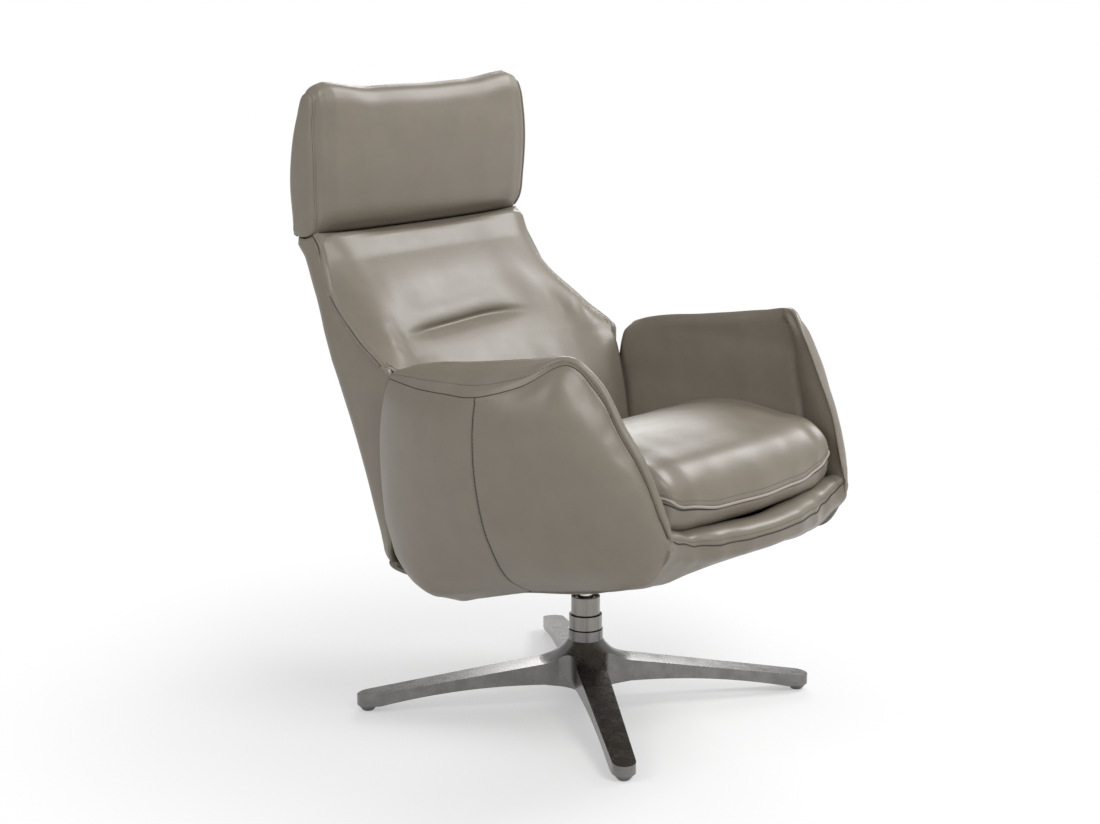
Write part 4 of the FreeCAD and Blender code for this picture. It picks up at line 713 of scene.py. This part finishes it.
def under_tilt(points):
    """Draw the top edge down so it follows the round underside of the headrest."""
    run = np.clip(points[..., 1] - TILT[0], -TILT_ROOM + 1, TILT_ROOM - 1)
    ceiling = TILT[1] - np.sqrt(TILT_ROOM ** 2 - run ** 2)
    height = points[..., 2]
    low = TILT_START + (height - TILT_START) * (ceiling - TILT_START) / (BACK_TOP - TILT_START)
    points[..., 2] = np.where(height > TILT_START, np.minimum(low, ceiling), height)
    return points


rear_line = spread([(y, z) for y, z in reversed(REAR_LINE[1:6])], 16)
rear_line = np.concatenate([[(424, BACK_TOP), (424, BACK_TOP - 8)], rear_line])
roll = []
for degrees in (20, 31, 43, 55, 66):
    turn = math.radians(degrees)
    roll.append((PIVOT[0] + BACK_SWEEP * math.cos(turn), PIVOT[1] - BACK_SWEEP * math.sin(turn)))
roll = spread([tuple(rear_line[-1])] + roll, 4)[1:]
profile = np.concatenate([rear_line, roll])


def shell_row(y, z):
    wide = back_half(z) - eased(203 - y, ((0, 0), (52, 66))) * (z < 312)
    welt = min(along(z, [(place[1], place[0]) for place in WELT_LINE]), y - 6)
    if z < 300:
        welt = min(y - 6, 168 + (y - 168) * (300 - z) / 90)
    corner = min(17.0, (y - welt) * 0.6)
    tuck = [(wide - 20, welt + 5), (wide - 4, welt + 1)]
    side = spread([(wide, welt + 2), (wide + 1.5, (welt + y - corner) / 2), (wide, y - corner)], 7)
    bend = [(wide - corner * 0.14, y - corner * 0.48), (wide - corner * 0.48, y - corner * 0.14)]
    bulge = SHELL_BULGE * min(max((z - 310) / 60, 0), 1)
    rear = spread([(wide - corner, y), (wide * 0.5, y + bulge * 0.7), (0, y + bulge)], 12)
    half = np.concatenate([tuck, side, bend, rear])
    other = half[:-1][::-1] * (-1, 1)
    loop = np.concatenate([half, other])
    return np.stack([loop[:, 0], loop[:, 1], np.full(len(loop), z)], axis=1)


shell_grid = np.array([shell_row(y, z) for y, z in profile])
shell_grid = under_tilt(shell_grid)
shell_out = outward(shell_grid, False)
high = np.clip((shell_grid[..., 2] - 310) / 60, 0, 1)
shell_grid = shell_grid + shell_out * (1.3 * lumps(shell_grid, 75, 21) * high - 0.2)[..., None]
CORNER = 19
OTHER_CORNER = shell_grid.shape[1] - 1 - CORNER
shell_dip = dip(near_column(shell_grid, CORNER), 3) + dip(near_column(shell_grid, OTHER_CORNER), 3)
shell_grid = shell_grid - shell_out * (1.6 * shell_dip)[..., None]
shell = sheet_piece("back_rear_cover", shell_grid, hide, "back")
walled(shell, 6)
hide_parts("back_shell")
for name, column in (("left", CORNER), ("right", OTHER_CORNER)):
    # Dark cords along the rear corner seams: painted shade in the grooves.
    cord_piece(f"back_rear_seam_{name}", shell_grid[3:, column], 1.0, seam_shade, "back")

PAD_SHARES = (0, 0.36, 0.68, 0.88, 1)
PAD_ROWS = (
    # height, then Y at each share of the width
    (356, (97, 96, 94, 95, 100)),
    (430, (113, 112, 106, 107, 112)),
    (510, (158, 155, 143, 130, 134)),
    (566, (196, 193, 180, 160, 158)),
    (619, (246, 242, 226, 214, 236)),
    (700, (302, 300, 294, 304, 332)),
    (745, (345, 343, 338, 340, 352)),
    (783, (384, 383, 380, 376, 373)),
)
PAD_WIDE = (
    (350, 203), (397, 203), (404, 246), (500, 256), (572, 264),
    (586, 281), (627, 273), (676, 259), (741, 246.5), (783, 243),
)
PAD_FOOT = 356
WING_FOOT = 579
FOLD_HEIGHT = 619
SPAN = 280
steps = [np.arange(PAD_FOOT, 570, 5.0), np.arange(570, 650, 2.2), np.arange(650, BACK_TOP, 4.5), [BACK_TOP]]
pad_heights = np.concatenate(steps)
shares = np.linspace(-1, 1, 101)
pad_columns = []
for i in range(len(PAD_SHARES)):
    line = spread([(z, places[i]) for z, places in PAD_ROWS], 12)
    pad_columns.append(np.interp(pad_heights, line[:, 0], line[:, 1]))
pad_columns = np.array(pad_columns)
pad_grid = []
for j, z in enumerate(pad_heights):
    wide = along(z, PAD_WIDE)
    knots = [(-share * SPAN, y) for share, y in zip(PAD_SHARES[:0:-1], pad_columns[:0:-1, j])]
    knots += [(share * SPAN, y) for share, y in zip(PAD_SHARES, pad_columns[:, j])]
    line = spread(knots, 10)
    places = np.interp(shares * SPAN, line[:, 0], line[:, 1])
    middle = [(share * wide, y, z) for share, y in zip(shares, places)]
    back_in = 34 if z < WING_FOOT else 12
    turn_in = 1 if z < WING_FOOT else 5
    right = [(-wide + turn_in, places[0] + back_in, z), (-wide - 0.6, places[0] + 4, z)]
    left = [(wide + 0.6, places[-1] + 4, z), (wide - turn_in, places[-1] + back_in, z)]
    pad_grid.append(right + middle + left)
pad_grid = np.array(pad_grid)
wide_share = np.concatenate([[-1, -1], shares, [1, 1]])[None, :]
fold_height = FOLD_HEIGHT - 9 * wide_share ** 2 + 2.5 * np.sin(wide_share * 5)
above = pad_grid[..., 2] - fold_height
fold_fade = 1 / (1 + np.exp((np.abs(wide_share + 0.1) - 0.42) / 0.06))
fold = 11 * dip(above, 7) - 4.5 * dip(above - 24, 17) - 2 * dip(above + 22, 16)
pad_grid[..., 1] += fold * fold_fade
low_part = np.clip((600 - pad_grid[..., 2]) / 60, 0, 1) * np.clip((pad_grid[..., 2] - 430) / 60, 0, 1)
pad_grid[..., 1] += 1.3 * lumps(pad_grid * (1, 0.2, 0.2), 42, 31) * low_part
pad_grid[..., 1] += 1.0 * lumps(pad_grid, 85, 32) * (1 - wide_share ** 8)
pucker = dip(above, 22) * np.clip((np.abs(wide_share) - 0.6) / 0.3, 0, 1) * (1 - wide_share ** 14)
pad_grid[..., 1] += 2.6 * lumps(pad_grid * (1.6, 1, 1), 20, 33) * pucker
pad_grid = under_tilt(pad_grid)
pad = sheet_piece("back_front_pad", pad_grid, hide, "back")
walled(pad, 8)
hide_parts("back_pad")
shown = pad_heights >= 584
for name, column, inward in (("left", -2, -1), ("right", 1, 1)):
    line = pad_grid[shown, column]
    cord_piece(f"back_welt_{name}", line + (inward * 0.2, 0.5, 0), 2.4, hide, "back")
    # Dark cord between the welt and the second welt: painted shade in the gap.
    cord_piece(f"back_welt_seam_{name}", line + (inward * -1.2, 4.4, 0), 1.1, seam_shade, "back")
    cord_piece(f"back_second_welt_{name}", line[:-6] + (inward * -1.0, 7.6, 0), 2.2, hide, "back")

# Headrest

HEAD_HALF = 243
HEAD_TOP = 1020
HEAD_FOOT = 780
HEAD_SAG = 12
HEAD_PUFF = 6
HEAD_ROUND = 47.6
HEAD_CAPS = ((0.985, 2), (0.93, 5), (0.75, 8), (0.4, 9))


def head_section(x):
    share = abs(x) / HEAD_HALF
    sag = HEAD_SAG * eased(share, ((0, 1), (0.45, 0.85), (0.93, 0), (1, 0.2)))
    draw = eased(share, ((0, 0), (0.55, 1), (0.85, 5), (0.95, 11), (1, 21))) * (0.5 if x > 0 else 1)
    top = HEAD_TOP - sag - eased(share, ((0, 0), (0.88, 0), (0.96, 4), (1, 14)))
    round_under = []
    for y in (424, 414, 405, 392, 379):
        run = y - TILT[0]
        round_under.append((y, TILT[1] - math.sqrt(HEAD_ROUND ** 2 - run ** 2)))
    front = spread(
        [
            round_under[-1],
            (356 + draw * 0.8, 797),
            (348 + draw, 840),
            (346 + draw, 900),
            (349 + draw, 960),
            (355 + draw * 0.7, top - 22),
            (366 + draw * 0.3, top - 5),
            (380, top),
        ],
        7,
    )
    upper_rear = [(380, top), (393, top - 7), (403, top - 32), (414, 930)]
    rear = spread(upper_rear + [(423, 850), (424, 800), round_under[0]], 6)
    under = spread(round_under, 3)
    loop = np.concatenate([front, rear[1:], under[1:-1]])
    return np.stack([np.full(len(loop), x), loop[:, 0], loop[:, 1]], axis=1)


turns = np.linspace(-1, 1, 91)
head_places = HEAD_HALF * np.sign(turns) * (1 - (1 - np.abs(turns)) ** 1.3)
head_grid = np.array([head_section(x) for x in head_places])
free = np.ones(head_grid.shape[:2])
free[:, -13:] = 0
free[:, :3] = 0
rim = np.abs(head_grid[..., 0]) / HEAD_HALF
level = np.clip((head_grid[..., 2] - HEAD_FOOT) / (HEAD_TOP - HEAD_FOOT), 0, 1)
head_grid[..., 0] += HEAD_PUFF * np.sin(level * math.pi) * rim ** 4 * np.sign(head_grid[..., 0])
near_rim = np.clip((rim - 0.7) / 0.3, 0, 1)
amount = 1.8 * lumps(head_grid, 90, 41) + 1.5 * lumps(head_grid * (1, 1, 0.5), 30, 42) * near_rim
head_grid = pushed(head_grid, amount * free, True)
head = tube_piece("headrest_soft", head_grid, HEAD_CAPS, hide, "headrest")
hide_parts("headrest_pad")
for name, row_index in (("left", -1), ("right", 0)):
    loop = head_grid[row_index]
    cord_piece(f"headrest_piping_{name}", loop[2:88], 1.6, hide, "headrest")
    inner_loop = loop.mean(0) + (loop[2:88] - loop.mean(0)) * 0.965 + ((1 if row_index else -1) * 1.4, 0, 0)
    # Dark cord just inside the side piping: painted shade in the seam groove.
    cord_piece(f"headrest_side_seam_{name}", inner_loop, 0.6, seam_shade, "headrest")

# Floor, light and camera


def stage_material():
    material, nodes, links, shader = blank("studio_floor")
    output = nodes["Material Output"]
    shader.inputs["Base Color"].default_value = (0.86, 0.86, 0.86, 1)
    shader.inputs["Roughness"].default_value = 0.75
    rays = nodes.new("ShaderNodeLightPath")
    shown_to = nodes.new("ShaderNodeMath")
    shown_to.operation = "MAXIMUM"
    links.new(rays.outputs["Is Camera Ray"], shown_to.inputs[0])
    links.new(rays.outputs["Is Glossy Ray"], shown_to.inputs[1])
    place = nodes.new("ShaderNodeTexCoord").outputs["Object"]
    size = nodes.new("ShaderNodeVectorMath")
    size.operation = "LENGTH"
    links.new(place, size.inputs[0])
    far = nodes.new("ShaderNodeMapRange")
    far.interpolation_type = "SMOOTHSTEP"
    far.inputs["From Min"].default_value = 0.45
    far.inputs["From Max"].default_value = 1.05
    far.inputs["To Min"].default_value = 0.4
    far.inputs["To Max"].default_value = 1.0
    links.new(size.outputs["Value"], far.inputs["Value"])
    share = nodes.new("ShaderNodeMath")
    share.operation = "MULTIPLY"
    links.new(far.outputs["Result"], share.inputs[0])
    links.new(shown_to.outputs["Value"], share.inputs[1])
    white = nodes.new("ShaderNodeEmission")
    white.inputs["Color"].default_value = (1, 1, 1, 1)
    white.inputs["Strength"].default_value = 1.0
    blend = nodes.new("ShaderNodeMixShader")
    links.new(share.outputs["Value"], blend.inputs["Fac"])
    links.new(shader.outputs["BSDF"], blend.inputs[1])
    links.new(white.outputs["Emission"], blend.inputs[2])
    links.new(blend.outputs["Shader"], output.inputs["Surface"])
    return material


floor_mesh = bpy.data.meshes.new("studio_floor")
FLOOR_REACH = 70.0
corners = [(x * FLOOR_REACH, y * FLOOR_REACH, 0) for x, y in ((-1, -1), (1, -1), (1, 1), (-1, 1))]
floor_mesh.from_pydata(corners, [], [(0, 1, 2, 3)])
floor = bpy.data.objects.new("studio_floor", floor_mesh)
floor.data.materials.append(stage_material())
bpy.context.scene.collection.objects.link(floor)

world = bpy.data.worlds.new("studio")
bpy.context.scene.world = world
world.use_nodes = True
nodes = world.node_tree.nodes
links = world.node_tree.links
ambient = nodes["Background"]
ambient.inputs["Color"].default_value = (1, 1, 1, 1)
ambient.inputs["Strength"].default_value = 0.5
seen = nodes.new("ShaderNodeBackground")
seen.inputs["Color"].default_value = (1, 1, 1, 1)
seen.inputs["Strength"].default_value = 1.0
rays = nodes.new("ShaderNodeLightPath")
pick = nodes.new("ShaderNodeMixShader")
links.new(rays.outputs["Is Camera Ray"], pick.inputs["Fac"])
links.new(ambient.outputs["Background"], pick.inputs[1])
links.new(seen.outputs["Background"], pick.inputs[2])
links.new(pick.outputs["Shader"], nodes["World Output"].inputs["Surface"])


LAMPS = (
    # name, place, height of the aim, width, height, power
    ("front_lamp", (-0.4, -2.3, 2.6), 0.55, 1.2, 1.2, 44),
    ("right_lamp", (2.2, -0.8, 2.4), 0.55, 1.0, 1.0, 40),
    ("rear_lamp", (2.4, 1.9, 1.7), 0.5, 1.5, 1.2, 26),
    ("left_lamp", (-2.3, 0.5, 2.1), 0.5, 0.7, 1.2, 14),
)
for name, place, aim, width, height, power in LAMPS:
    data = bpy.data.lights.new(name, "AREA")
    data.shape = "RECTANGLE"
    data.size = width
    data.size_y = height
    data.energy = power
    lamp = bpy.data.objects.new(name, data)
    lamp.location = place
    lamp.rotation_euler = (Vector((0, 0, aim)) - Vector(place)).to_track_quat("-Z", "Y").to_euler()
    bpy.context.scene.collection.objects.link(lamp)

AZIMUTH = math.radians(-48.994)
ELEVATION = math.radians(12.314)
look = -Vector(
    (math.sin(AZIMUTH) * math.cos(ELEVATION), -math.cos(AZIMUTH) * math.cos(ELEVATION), math.sin(ELEVATION))
)
camera_data = bpy.data.cameras.new("photo_camera")
camera_data.sensor_width = 36
camera_data.lens = 71.68
camera = bpy.data.objects.new("photo_camera", camera_data)
camera.location = (-2.6743, -2.2468, 1.2545)
camera.rotation_euler = look.to_track_quat("-Z", "Y").to_euler()
bpy.context.scene.collection.objects.link(camera)
bpy.context.scene.camera = camera
bpy.context.scene.view_settings.view_transform = "Standard"
